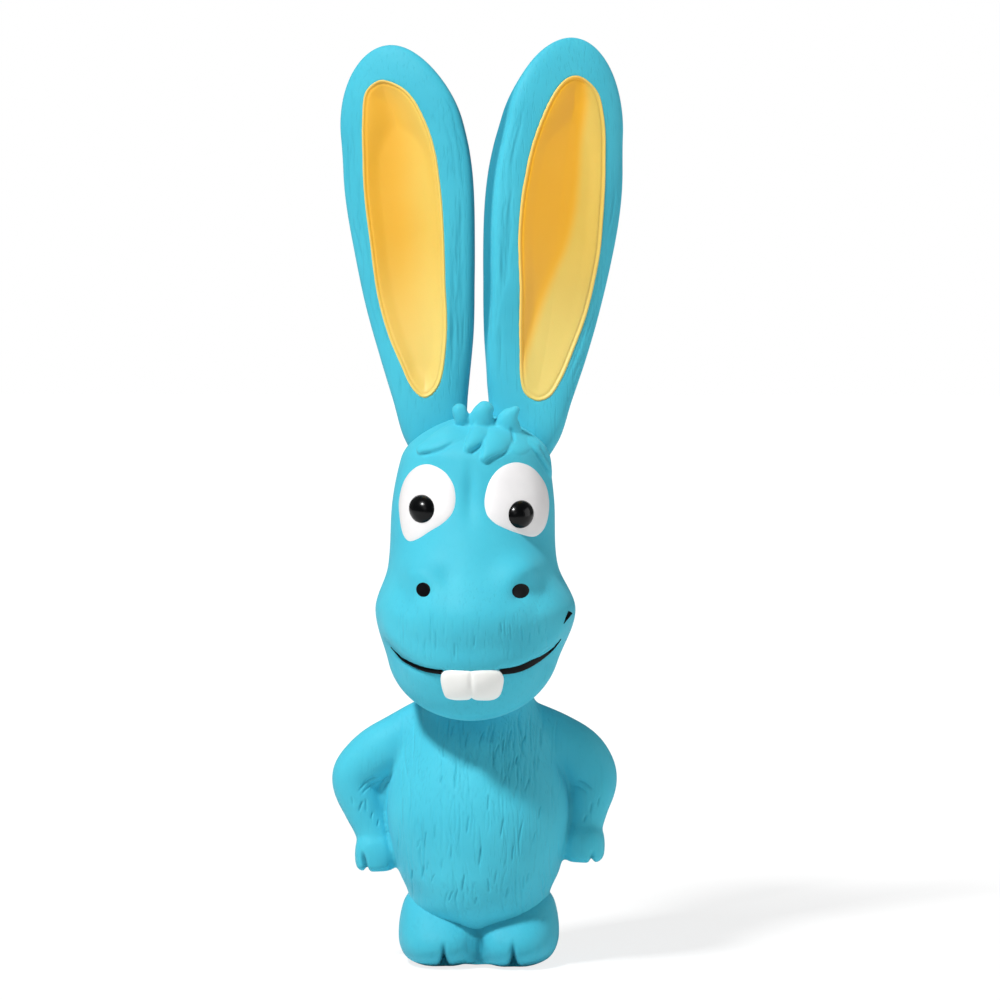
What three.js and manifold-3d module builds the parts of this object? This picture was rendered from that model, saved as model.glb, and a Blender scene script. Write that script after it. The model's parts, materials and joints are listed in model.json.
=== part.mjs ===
// Long-eared latex squeaky dog toy: a soft hollow figure with a belly that presses in, ears that bend
// at their roots, a head that turns on its neck, and a reed squeaker plugged into its base.
// Millimetres, +Z up. The toy faces -Y, so its own left side is +X.

import * as THREE from "three";
import { mergeVertices } from "three/addons/utils/BufferGeometryUtils.js";
import Module from "manifold-3d";

// Clearances and walls
const GAP = 0.35; // between neighbouring pieces
const NECK_GAP = 0.6; // between the neck and the head that turns on it
const SKIN = 2.2; // latex wall
const EAR_LINING = 0.9; // painted hollow of an ear
const OPEN = 1; // how far a cutter runs past the face it opens
const FILL_GAP = 1.2; // between the filling and the skin

// Torso levels from the base up: rise above the level below, width, reach before and behind the neck axis
const NECK_RADIUS = 15;
const NECK_LEVEL = { width: 2 * NECK_RADIUS, front: NECK_RADIUS, back: NECK_RADIUS };
const TORSO_LEVELS = {
  base: { rise: 0, width: 32, front: 12, back: 17 },
  ankle: { rise: 9, width: 32, front: 12.5, back: 17.5 },
  hip: { rise: 11, width: 40, front: 19.5, back: 20.5 },
  belly: { rise: 26, width: 55.6, front: 27.5, back: 24.5 },
  chest: { rise: 20, width: 46, front: 21, back: 21.5 },
  collar: { rise: 12, ...NECK_LEVEL },
  neckTop: { rise: 18, ...NECK_LEVEL },
};

// Belly front that presses in
const BELLY = { width: 38, height: 44, centreZ: 44 };

// Arm, from inside the shoulder to the fingertips: distance from the middle, depth, height, radius
const ARM_POINTS = {
  root: { side: 10, y: 1, z: 71, radius: 8 },
  shoulder: { side: 21, y: 1, z: 67, radius: 9.2 },
  upper: { side: 29, y: 1, z: 62.5, radius: 9 },
  elbow: { side: 35, y: 1, z: 55.5, radius: 8.6 },
  forearm: { side: 33.6, y: 0, z: 46, radius: 6.9 },
  wrist: { side: 31.6, y: -1, z: 37.5, radius: 5.7 },
  hand: { side: 31, y: -2, z: 33, radius: 6.2 },
};
const FINGER_CLEFT = { side: 34.2, width: 1.4, height: 7 };

// Foot levels from the sole up, about the middle of the foot
const FOOT_LEVELS = {
  sole: { rise: 0, width: 22, front: 18.5, back: 15 },
  tread: { rise: 2, width: 25, front: 21, back: 17 },
  toes: { rise: 7, width: 27, front: 23, back: 18.5 },
  instep: { rise: 8, width: 26, front: 20, back: 18.5 },
  top: { rise: 11, width: 22, front: 15, back: 17 },
};
const FOOT_SIDE = 10.4; // middle of a foot from the middle of the toy
const FOOT_CROWN = 9;
const FOOT_SQUARENESS = 2.8; // 2 is an oval section, more is squarer
const TOE_CLEFT = { side: 9.7, width: 2.6, height: 9, depth: 9 };

// Head levels from the chin up, with the depth of the widest line
const CHIN_DROP = 5; // chin below the collar of the neck
const CHIN_ROUND = 18;
const CROWN_ROUND = 13;
const HEAD_LEVELS = {
  chin: { rise: 0, width: 50, front: 15, back: 12, middle: -27 },
  jaw: { rise: 17, width: 51, front: 25, back: 31, middle: -16 },
  muzzle: { rise: 16.5, width: 59.6, front: 33, back: 33.5, middle: -11 },
  bridge: { rise: 13, width: 50.6, front: 29.5, back: 31, middle: -7 },
  eyes: { rise: 19.5, width: 48.4, front: 26, back: 26, middle: -1 },
  brow: { rise: 15, width: 43, front: 22, back: 21.5, middle: 0 },
  crown: { rise: 10, width: 36, front: 18, back: 18, middle: 0 },
};

// Face details: side is the distance from the middle of the head, z the height above the chin
const EYE = { side: 13.6, z: 66, width: 19, height: 24.5, bulge: 3.4, tilt: 0.08 };
const PUPIL = { side: 14.2, z: 63.5, width: 7.8, height: 8.2, bulge: 1.7 };
const NOSTRIL = { side: 14, z: 39, radius: 2.4, depth: 1.4 };
const MOUTH = { z: 12.5, rise: 12, radius: 0.9, from: 0.42, to: 1.5 };
const TOOTH = { width: 9, height: 10.6, narrow: 0.7, thick: 2.6, corner: 2.4, topZ: 16.2 };

// Forelock on the crown: side, depth, base radius, tip radius, height and lean of each tuft
const TUFTS = {
  right: { side: -5.5, y: -10, base: 3, tip: 1.3, height: 9, lean: -0.5 },
  middle: { side: 1.2, y: -10, base: 3, tip: 1.3, height: 10, lean: 0.2 },
  left: { side: 9.6, y: -9, base: 3.2, tip: 1.3, height: 9, lean: 1.2 },
};
const TUFT_WAIST = 0.8; // radius half way up, of the base radius
const TUFT_ROOT = 4; // depth of a tuft's root under the skin before it is cut

// Locks swept over the forehead: where each starts and ends, from the middle and above the chin
const LOCKS = {
  outer_right: { from: [-7, 86], over: [-11, 84], to: [-15.5, 80.5], radius: 2.2 },
  inner_right: { from: [-1.5, 86], over: [-2, 83], to: [-4.5, 79], radius: 2.2 },
  inner_left: { from: [5, 86], over: [4.5, 83], to: [2, 78.5], radius: 2.2 },
  outer_left: { from: [10.5, 85], over: [14.5, 82.5], to: [17.5, 79.5], radius: 2.2 },
};
const LOCK_TIP = 0.9;

// Ear, along its own length from the hinge: rise, width and reach before and behind its middle plane
const EAR_LEVELS = {
  root: { rise: 0, width: 18, front: 6.5, back: 6.5 },
  stem: { rise: 11, width: 20.6, front: 5.6, back: 6.6 },
  lower: { rise: 25, width: 32.4, front: 5, back: 6.6 },
  middle: { rise: 20, width: 37.6, front: 5, back: 6.6 },
  upper: { rise: 21, width: 40.6, front: 5, back: 6.6 },
  shoulder: { rise: 18, width: 38.6, front: 4.6, back: 6 },
  tip: { rise: 26, width: 34, front: 4, back: 5 },
};
const EAR_TIP_ROUND = 27;
const EAR_PIVOT = { side: 14.2, y: 5, belowCrown: 5.5 };
const EAR_BARREL = { radius: 9, width: 18.4 };
const EAR_LEAN = { out: 0.105, back: 0.12 };
const EAR_TURN = { right: 0.26, left: 0.45, length: 45 };

// Hollow of an ear: where it starts and ends along the ear, its levels and its depth
const DISH_START = 14;
const DISH_ROUND = { below: 26, above: 26 };
const DISH_LEVELS = {
  low: { rise: 0, width: 15, back: 5.6 },
  lower: { rise: 33, width: 23.4, back: 6.8 },
  middle: { rise: 33, width: 25, back: 7.2 },
  high: { rise: 31, width: 23, back: 6 },
};

// Squeaker, plugged into the base
const SQUEAKER = { y: 2.5, flange: 10.4, neck: 8.4, collar: 9.4, bore: 6.6, outlet: 1.9, height: 13 };
const FLANGE_THICK = 1.2;
const COLLAR_THICK = 1.4;
const FLANGE_RECESS = 0.9; // how far the flange sits above the ground
const LIP_THICK = 2.4; // latex lip gripped by the squeaker
const FLOOR_THICK = 1.6;
const LID = { thick: 1.2, spigot: 1.5, inlet: 2 };
const REED_TUBE = { radius: 3.3, bore: 2, height: 8, flat: 1.3, roof: 1 };
const REED = { width: 4.4, thick: 0.3, height: 7, lift: 0.4 };
const CLAMP = { width: 6, depth: 1.4, height: 2.4 };

// Finishes
const finish = (color, roughness, metalness = 0) => new THREE.MeshStandardMaterial({ color, roughness, metalness });
const LATEX_BLUE = finish("#46bfdb", 0.55);
const LATEX_YELLOW = finish("#f3bd47", 0.5);
const PAINT_WHITE = finish("#f5f4f2", 0.4);
const TOOTH_WHITE = finish("#ecece6", 0.45);
const PAINT_BLACK = finish("#101114", 0.25);
const FIBRE = finish("#e9e7e2", 0.95);
const SQUEAKER_WHITE = finish("#e6e4dc", 0.4);
const REED_CLEAR = finish("#d9d6c8", 0.2);

const TURNED_SEGMENTS = 26;
const UP = new THREE.Vector3(0, 0, 1);
const SIDES = { left: 1, right: -1 };
const wasm = await Module();
wasm.setup();

// Turns a geometry into a solid for joining and cutting.
function toSolid(geometry) {
  const bare = geometry.clone();
  bare.deleteAttribute("normal");
  bare.deleteAttribute("uv");
  const merged = mergeVertices(bare, 1e-4);
  const triVerts = new Uint32Array(merged.index.array);
  const vertProperties = new Float32Array(merged.attributes.position.array);
  return new wasm.Manifold(new wasm.Mesh({ numProp: 3, vertProperties, triVerts }));
}

// Turns a solid back into a geometry.
function toGeometry(solid) {
  const { vertProperties, triVerts } = solid.getMesh();
  const geometry = new THREE.BufferGeometry();
  geometry.setAttribute("position", new THREE.BufferAttribute(new Float32Array(vertProperties), 3));
  geometry.setIndex(new THREE.BufferAttribute(new Uint32Array(triVerts), 1));
  return geometry;
}

// Closes a stack of equal rings, counter-clockwise seen from the last one, with a point at each end.
function closeRings(rings, first, last) {
  const sides = rings[0].length;
  const points = [first, ...rings.flat(), last];
  const at = (ring, side) => 1 + ring * sides + (side % sides);
  const top = rings.length - 1;
  const faces = [];
  for (let side = 0; side < sides; side++) {
    faces.push(0, at(0, side + 1), at(0, side));
    faces.push(at(top, side), at(top, side + 1), points.length - 1);
    for (let ring = 0; ring < top; ring++) {
      faces.push(at(ring, side), at(ring, side + 1), at(ring + 1, side + 1));
      faces.push(at(ring, side), at(ring + 1, side + 1), at(ring + 1, side));
    }
  }
  const geometry = new THREE.BufferGeometry().setFromPoints(points);
  geometry.setIndex(faces);
  return geometry;
}

// A skin of stacked level ovals, each with its own width, front and back about its widest line.
class SkinForm {
  constructor(levels, { below = 0, above = 0, sides = 24, rings = 14, base = 0, squareness = 2 } = {}) {
    const list = Object.values(levels);
    let height = base;
    this.heights = list.map(({ rise }) => (height += rise));
    this.low = base;
    this.high = height;
    this.round = { below, above };
    this.count = { sides, rings };
    this.squareness = squareness;
    const values = list.flatMap(({ width, front, back, middle = 0 }) => [width / 2, front, back, middle]);
    this.curve = new THREE.CubicInterpolant(this.heights, values, 4);
  }

  // How much of the full section is left at a height, near a rounded end.
  fullness(z) {
    const { below, above } = this.round;
    const down = below ? THREE.MathUtils.clamp((this.low + below - z) / below, 0, 1) : 0;
    const up = above ? THREE.MathUtils.clamp((z - this.high + above) / above, 0, 1) : 0;
    return Math.sqrt((1 - down * down) * (1 - up * up));
  }

  section(z, grow = 0) {
    const [half, front, back, middle] = this.curve.evaluate(z);
    const full = this.fullness(z);
    return { half: half * full + grow, front: front * full + grow, back: back * full + grow, middle };
  }

  // Heights of the rings, closer together towards a rounded end.
  levels(from, to) {
    const { below, above } = this.round;
    const ease = (t) => {
      if (below && above) return (1 - Math.cos(Math.PI * t)) / 2;
      if (above) return Math.sin((Math.PI * t) / 2);
      return t;
    };
    const steps = this.count.rings;
    const first = below ? 1 : 0;
    const last = above ? steps - 1 : steps;
    const list = [];
    for (let step = first; step <= last; step++) list.push(from + (to - from) * ease(step / steps));
    return list;
  }

  solid(grow = 0, from = this.low - grow, to = this.high + grow) {
    const stretch = (z) => THREE.MathUtils.mapLinear(z, from, to, Math.max(from, this.low), Math.min(to, this.high));
    const part = (value) => Math.sign(value) * Math.abs(value) ** (2 / this.squareness);
    const rings = this.levels(from, to).map((z) => {
      const { half, front, back, middle } = this.section(stretch(z), grow);
      return Array.from({ length: this.count.sides }, (_, side) => {
        const angle = (2 * Math.PI * side) / this.count.sides;
        const reach = Math.sin(angle) < 0 ? front : back;
        return new THREE.Vector3(half * part(Math.cos(angle)), middle + reach * part(Math.sin(angle)), z);
      });
    });
    const end = (z) => new THREE.Vector3(0, this.section(stretch(z)).middle, z);
    return toSolid(closeRings(rings, end(from), end(to)));
  }

  // Depth of the front skin at a place.
  frontAt(x, z) {
    const { half, front, middle } = this.section(z);
    return middle - front * Math.sqrt(Math.max(0, 1 - (x / half) ** 2));
  }

  // Frame on the front skin at a place: x along it, z up it, -y out of it.
  seat(x, z, out = 0) {
    const step = 0.5;
    const point = (px, pz) => new THREE.Vector3(px, this.frontAt(px, pz), pz);
    const along = point(x + step, z).sub(point(x - step, z)).normalize();
    const rise = point(x, z + step).sub(point(x, z - step));
    const inward = rise.clone().cross(along).normalize();
    const upward = along.clone().cross(inward);
    const matrix = new THREE.Matrix4().makeBasis(along, inward, upward);
    return matrix.setPosition(point(x, z).addScaledVector(inward, -out));
  }

  // Widest radius about the z axis, turned into a solid that clears the skin at any turn.
  turned(grow, from, to) {
    const profile = [new THREE.Vector2(0, from)];
    const steps = 16;
    const flats = Math.cos(Math.PI / TURNED_SEGMENTS);
    for (let step = 0; step <= steps; step++) {
      const z = from + ((to - from) * step) / steps;
      const { half, front, back } = this.section(Math.min(z, this.high), grow);
      profile.push(new THREE.Vector2(Math.max(half, front, back) / flats, z));
    }
    profile.push(new THREE.Vector2(0, to));
    return turnedSolid(profile);
  }
}

// A profile of radius and height turned about the z axis.
function turnedGeometry(profile) {
  return new THREE.LatheGeometry(profile, TURNED_SEGMENTS).rotateX(Math.PI / 2);
}

function turnedSolid(profile) {
  return toSolid(turnedGeometry(profile));
}

// A closed ring profile from pairs of radius and height.
function ringProfile(pairs) {
  const points = pairs.map(([radius, height]) => new THREE.Vector2(radius, height));
  return [...points, points[0].clone()];
}

// A round limb through points with their own radii, with rounded ends.
function limbSolid(points, radii, { sides = 12, steps = 12, cap = 3 } = {}) {
  const path = new THREE.CatmullRomCurve3(points);
  const places = radii.map((_, index) => index / (radii.length - 1));
  const thickness = new THREE.CubicInterpolant(places, radii, 1);
  const frames = path.computeFrenetFrames(steps, false);
  const ring = (step, radius, shift) => {
    const centre = path.getPointAt(step / steps).addScaledVector(frames.tangents[step], shift);
    return Array.from({ length: sides }, (_, side) => {
      const angle = (2 * Math.PI * side) / sides;
      return centre
        .clone()
        .addScaledVector(frames.normals[step], radius * Math.cos(angle))
        .addScaledVector(frames.binormals[step], radius * Math.sin(angle));
    });
  };
  const radiusAt = (step) => thickness.evaluate(path.getUtoTmapping(step / steps))[0];
  const rings = [];
  for (let turn = 1; turn < cap; turn++) {
    const angle = (Math.PI / 2) * (1 - turn / cap);
    rings.push(ring(0, radii[0] * Math.cos(angle), -radii[0] * Math.sin(angle)));
  }
  for (let step = 0; step <= steps; step++) rings.push(ring(step, radiusAt(step), 0));
  const last = radii[radii.length - 1];
  for (let turn = 1; turn < cap; turn++) {
    const angle = (Math.PI / 2) * (turn / cap);
    rings.push(ring(steps, last * Math.cos(angle), last * Math.sin(angle)));
  }
  const start = points[0].clone().addScaledVector(frames.tangents[0], -radii[0]);
  const end = points[points.length - 1].clone().addScaledVector(frames.tangents[steps], last);
  return toSolid(closeRings(rings, start, end));
}

// An ellipsoid of full sizes x, y, z, then placed.
function ellipsoidSolid(size, matrix, [across, up] = [12, 8]) {
  const geometry = new THREE.SphereGeometry(0.5, across, up).rotateX(Math.PI / 2);
  return toSolid(geometry.scale(size.x, size.y, size.z).applyMatrix4(matrix));
}

// A wedge open downwards: a cleft of a given width at its foot, running along y.
function cleftSolid(x, z, { width, height }, fromY, toY) {
  const outline = new THREE.Shape([
    new THREE.Vector2(-width / 2, -OPEN),
    new THREE.Vector2(width / 2, -OPEN),
    new THREE.Vector2(0, height),
  ]);
  const geometry = new THREE.ExtrudeGeometry(outline, { depth: toY - fromY, bevelEnabled: false });
  return toSolid(geometry.rotateX(Math.PI / 2).translate(x, toY, z));
}

function boxSolid(size, centre) {
  return toSolid(new THREE.BoxGeometry(size.x, size.y, size.z).translate(centre.x, centre.y, centre.z));
}

function mesh(name, shape, material) {
  const geometry = shape instanceof THREE.BufferGeometry ? shape : toGeometry(shape);
  const node = new THREE.Mesh(geometry, material);
  node.name = name;
  return node;
}

// Heights that follow from the sizes above
const headRound = { below: CHIN_ROUND, above: CROWN_ROUND };
const torso = new SkinForm(TORSO_LEVELS, { sides: 24, rings: 14 });
const torsoInside = new SkinForm(TORSO_LEVELS, { sides: 14, rings: 14 });
const head = new SkinForm(HEAD_LEVELS, { ...headRound, sides: 24, rings: 17 });
const headInside = new SkinForm(HEAD_LEVELS, { ...headRound, sides: 14, rings: 13 });
const foot = new SkinForm(FOOT_LEVELS, { above: FOOT_CROWN, sides: 16, rings: 8, squareness: FOOT_SQUARENESS });
const ear = new SkinForm(EAR_LEVELS, { above: EAR_TIP_ROUND, sides: 14, rings: 12 });
const dishOptions = { ...DISH_ROUND, sides: 14, rings: 10, base: DISH_START };
const collarZ = torso.heights[Object.keys(TORSO_LEVELS).indexOf("collar")];
const headZ = collarZ - CHIN_DROP;
const neckTopZ = torso.high;
const baseThick = FLANGE_RECESS + FLANGE_THICK + GAP + LIP_THICK;
const squeakerTop = FLANGE_RECESS + SQUEAKER.height + LID.thick + GAP;

// Torso: hollow skin with the belly front cut free, an open neck and a lipped hole in its base.
function buildTorso() {
  const group = new THREE.Group();
  const cavity = torso.solid(-SKIN, baseThick, neckTopZ + OPEN);
  const shell = torso.solid().subtract(cavity);

  const reach = TORSO_LEVELS.belly.front + OPEN;
  const bellyCutter = (grow) => {
    const outline = new THREE.Shape();
    outline.absellipse(0, BELLY.centreZ, BELLY.width / 2 + grow, BELLY.height / 2 + grow, 0, 2 * Math.PI);
    const options = { depth: reach, bevelEnabled: false, curveSegments: 20 };
    return toSolid(new THREE.ExtrudeGeometry(outline, options).rotateX(Math.PI / 2));
  };
  const seat = turnedSolid([
    new THREE.Vector2(0, -OPEN),
    new THREE.Vector2(SQUEAKER.flange + GAP, -OPEN),
    new THREE.Vector2(SQUEAKER.flange + GAP, baseThick - LIP_THICK),
    new THREE.Vector2(SQUEAKER.neck + GAP, baseThick - LIP_THICK),
    new THREE.Vector2(SQUEAKER.neck + GAP, baseThick + OPEN),
    new THREE.Vector2(0, baseThick + OPEN),
  ]).translate(0, SQUEAKER.y, 0);

  const room = turnedSolid([
    new THREE.Vector2(0, 0),
    new THREE.Vector2(SQUEAKER.collar + GAP, 0),
    new THREE.Vector2(SQUEAKER.collar + GAP, squeakerTop + GAP),
    new THREE.Vector2(0, squeakerTop + GAP),
  ]).translate(0, SQUEAKER.y, 0);
  const fill = torsoInside.solid(-SKIN - FILL_GAP, baseThick + GAP, neckTopZ - OPEN).subtract(room);

  group.add(mesh("torso_shell", shell.subtract(bellyCutter(GAP)).subtract(seat), LATEX_BLUE));
  group.add(mesh("belly_panel", shell.intersect(bellyCutter(0)), LATEX_BLUE));
  group.add(mesh("body_fill", fill, FIBRE));
  return group;
}

// Arm bent at the elbow with its hand on the hip, cut to lie against the torso.
function buildArm(name, side) {
  const list = Object.values(ARM_POINTS);
  const points = list.map((point) => new THREE.Vector3(side * point.side, point.y, point.z));
  const cleftZ = ARM_POINTS.hand.z - ARM_POINTS.hand.radius;
  const depth = ARM_POINTS.hand.radius * 2;
  const cleft = cleftSolid(side * FINGER_CLEFT.side, cleftZ, FINGER_CLEFT, -depth, depth);
  const arm = limbSolid(points, list.map(({ radius }) => radius), { steps: 14 });
  return mesh(`${name}_arm`, arm.subtract(cleft).subtract(torso.solid(GAP)), LATEX_BLUE);
}

// Foot with a cleft between its toes, cut to lie against the torso and the other foot.
function buildFoot(name, side) {
  const front = FOOT_LEVELS.toes.front;
  const cleft = cleftSolid(side * TOE_CLEFT.side, 0, TOE_CLEFT, -front - OPEN, TOE_CLEFT.depth - front);
  const span = 4 * front;
  const otherSide = boxSolid(new THREE.Vector3(span, span, span), new THREE.Vector3(side * (GAP - span) / 2, 0, 0));
  const shape = foot.solid().translate(side * FOOT_SIDE, 0, 0).subtract(otherSide).subtract(cleft);
  return mesh(`${name}_foot`, shape.subtract(torso.solid(GAP)), LATEX_BLUE);
}

// Smile line on the skin, from beside the teeth round to the cheek.
function mouthPath(side) {
  const count = 8;
  const points = Array.from({ length: count }, (_, index) => {
    const angle = MOUTH.from + ((MOUTH.to - MOUTH.from) * index) / (count - 1);
    const z = MOUTH.z + MOUTH.rise * (angle / MOUTH.to) ** 3;
    const { half, front, middle } = head.section(z);
    return new THREE.Vector3(side * half * Math.sin(angle), middle - front * Math.cos(angle), z);
  });
  return new THREE.CatmullRomCurve3(points);
}

function mouthSolid(side, grow) {
  const outline = new THREE.Shape().absarc(0, 0, MOUTH.radius + grow, 0, 2 * Math.PI);
  const options = { steps: 10, curveSegments: 3, extrudePath: mouthPath(side) };
  return toSolid(new THREE.ExtrudeGeometry(outline, options));
}

function nostrilSolid(side, grow) {
  const radius = NOSTRIL.radius;
  const rise = (radius * radius - NOSTRIL.depth * NOSTRIL.depth) / (2 * NOSTRIL.depth);
  const ball = 2 * (NOSTRIL.depth + rise + grow);
  return ellipsoidSolid(new THREE.Vector3(ball, ball, ball), head.seat(side * NOSTRIL.side, NOSTRIL.z, rise));
}

// Frame of an eye on the skin, tilted so that its foot points outwards.
function eyeFrame(side) {
  const tilt = new THREE.Matrix4().makeRotationY(-side * EYE.tilt);
  return head.seat(side * EYE.side, EYE.z).multiply(tilt);
}

function eyeSolid(side, grow) {
  const size = new THREE.Vector3(EYE.width, 2 * EYE.bulge, EYE.height).addScalar(2 * grow);
  return ellipsoidSolid(size, eyeFrame(side), [18, 10]);
}

// Eye dome and the pupil raised on it.
function buildEye(name, side) {
  const x = side * (PUPIL.side - EYE.side);
  const z = PUPIL.z - EYE.z;
  const height = EYE.bulge * Math.sqrt(1 - (2 * x / EYE.width) ** 2 - (2 * z / EYE.height) ** 2);
  const pupilFrame = eyeFrame(side).multiply(new THREE.Matrix4().makeTranslation(x, -height, z));
  const pupilSize = new THREE.Vector3(PUPIL.width, 2 * PUPIL.bulge, PUPIL.height);
  const pupil = ellipsoidSolid(pupilSize, pupilFrame).subtract(eyeSolid(side, GAP));
  return [
    mesh(`${name}_eye`, eyeSolid(side, 0).subtract(head.solid(GAP)), PAINT_WHITE),
    mesh(`${name}_pupil`, pupil.subtract(head.solid(GAP)), PAINT_BLACK),
  ];
}

// Front tooth, narrower below, with a rounded outer corner.
function buildTooth(name, side) {
  const outer = TOOTH.width;
  const low = outer - TOOTH.narrow;
  const outline = new THREE.Shape();
  outline.moveTo(GAP / 2, 0);
  outline.lineTo(outer, 0);
  outline.lineTo(low, TOOTH.corner - TOOTH.height);
  outline.quadraticCurveTo(low, -TOOTH.height, low - TOOTH.corner, -TOOTH.height);
  outline.lineTo(GAP / 2 + TOOTH.narrow, -TOOTH.height);
  outline.lineTo(GAP / 2, TOOTH.corner - TOOTH.height);
  const options = { depth: TOOTH.thick * 2, bevelEnabled: false, curveSegments: 4 };
  const slab = new THREE.ExtrudeGeometry(outline, options).translate(0, 0, -TOOTH.thick);
  if (side < 0) slab.rotateY(Math.PI);
  slab.rotateX(Math.PI / 2);
  slab.applyMatrix4(head.seat(0, TOOTH.topZ - TOOTH.height / 2).multiply(
    new THREE.Matrix4().makeTranslation(0, 0, TOOTH.height / 2)));
  const cap = head.solid(TOOTH.thick).intersect(toSolid(slab));
  return mesh(`${name}_tooth`, cap.subtract(head.solid(GAP)), TOOTH_WHITE);
}

// Centre line and radii of a tuft standing on the crown.
function tuftStrand({ side, y, base, tip, height, lean }) {
  const crown = head.high - CROWN_ROUND / 2;
  const points = [
    new THREE.Vector3(side, y, crown - TUFT_ROOT),
    new THREE.Vector3(side, y, crown + height / 2),
    new THREE.Vector3(side + lean, y + lean / 2, crown + height),
  ];
  return { points, radii: [base, base * TUFT_WAIST, tip] };
}

// Centre line and radii of a lock lying on the forehead.
function lockStrand({ from, over, to, radius }) {
  const points = [from, over, to].map(([x, z]) => new THREE.Vector3(x, head.frontAt(x, z), z));
  return { points, radii: [radius, radius, LOCK_TIP] };
}

// Tufts and locks, each cut to lie against the skin, the eyes and the strands before it.
function buildHair() {
  const strands = [
    ...Object.entries(TUFTS).map(([name, tuft]) => [`tuft_${name}`, tuftStrand(tuft)]),
    ...Object.entries(LOCKS).map(([name, lock]) => [`lock_${name}`, lockStrand(lock)]),
  ];
  const strandSolid = ({ points, radii }, grow) => {
    const grown = radii.map((radius) => radius + grow);
    return limbSolid(points, grown, { sides: 8, steps: 5 });
  };
  const taken = [head.solid(GAP), ...Object.values(SIDES).map((side) => eyeSolid(side, GAP))];
  return strands.map(([name, strand]) => {
    const solid = taken.reduce((rest, other) => rest.subtract(other), strandSolid(strand, 0));
    taken.push(strandSolid(strand, GAP));
    return mesh(name, solid, LATEX_BLUE);
  });
}

// Where an ear hinges, in the frame of the head.
function earPivot(side) {
  return new THREE.Vector3(side * EAR_PIVOT.side, EAR_PIVOT.y, head.high - EAR_PIVOT.belowCrown);
}

// Root of an ear, round about its hinge line.
function barrelSolid(grow) {
  const radius = EAR_BARREL.radius + grow;
  const width = EAR_BARREL.width + 2 * grow;
  return toSolid(new THREE.CylinderGeometry(radius, radius, width, 20).rotateZ(Math.PI / 2));
}

// Ear blade with its hollow, turned outwards above the root and leaned, about its hinge.
function buildEar(name, side) {
  const group = new THREE.Group();
  group.position.copy(earPivot(side));
  const lean = new THREE.Euler(-EAR_LEAN.back, side * EAR_LEAN.out, 0);
  const bend = (solid) => {
    const geometry = toGeometry(solid);
    const points = geometry.attributes.position;
    const point = new THREE.Vector3();
    for (let index = 0; index < points.count; index++) {
      point.fromBufferAttribute(points, index);
      const turn = side * EAR_TURN[name] * THREE.MathUtils.smoothstep(point.z, 0, EAR_TURN.length);
      point.applyAxisAngle(UP, turn).applyEuler(lean);
      points.setXYZ(index, point.x, point.y, point.z);
    }
    return geometry;
  };

  const rim = EAR_LEVELS.middle.front;
  const levels = Object.fromEntries(Object.entries(DISH_LEVELS).map(([key, level]) => [
    key, { ...level, front: EAR_LEVELS.middle.front + OPEN, middle: -rim }]));
  const dish = new SkinForm(levels, dishOptions);
  const blade = ear.solid().subtract(dish.solid());
  const lining = dish.solid(-GAP).subtract(dish.solid(-GAP - EAR_LINING)).intersect(ear.solid(-GAP));

  group.add(mesh(`${name}_ear`, toSolid(bend(blade)).add(barrelSolid(0)), LATEX_BLUE));
  group.add(mesh(`${name}_ear_lining`, bend(lining), LATEX_YELLOW));
  return group;
}

// Head: hollow skin with a round neck opening, ear sockets, mouth grooves and nostril pits.
function buildHead() {
  const group = new THREE.Group();
  group.position.z = headZ;
  const neckRoom = torso.turned(NECK_GAP, collarZ - CHIN_DROP * 2, neckTopZ + NECK_GAP).translate(0, 0, -headZ);
  const sockets = Object.values(SIDES).map((side) => barrelSolid(GAP).translate(...earPivot(side).toArray()));

  let shell = head.solid().subtract(head.solid(-SKIN)).subtract(neckRoom);
  let fill = headInside.solid(-SKIN - FILL_GAP).subtract(neckRoom);
  for (const socket of sockets) {
    shell = shell.subtract(socket);
    fill = fill.subtract(socket);
  }
  for (const [name, side] of Object.entries(SIDES)) {
    shell = shell.subtract(mouthSolid(side, GAP)).subtract(nostrilSolid(side, GAP));
    group.add(mesh(`${name}_mouth_line`, mouthSolid(side, 0).intersect(head.solid()), PAINT_BLACK));
    group.add(mesh(`${name}_nostril`, nostrilSolid(side, 0).intersect(head.solid()), PAINT_BLACK));
    group.add(...buildEye(name, side));
    group.add(buildTooth(name, side));
    group.add(buildEar(name, side));
  }
  group.add(...buildHair());
  group.add(mesh("head_shell", shell, LATEX_BLUE));
  group.add(mesh("head_fill", fill, FIBRE));
  return group;
}

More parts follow.
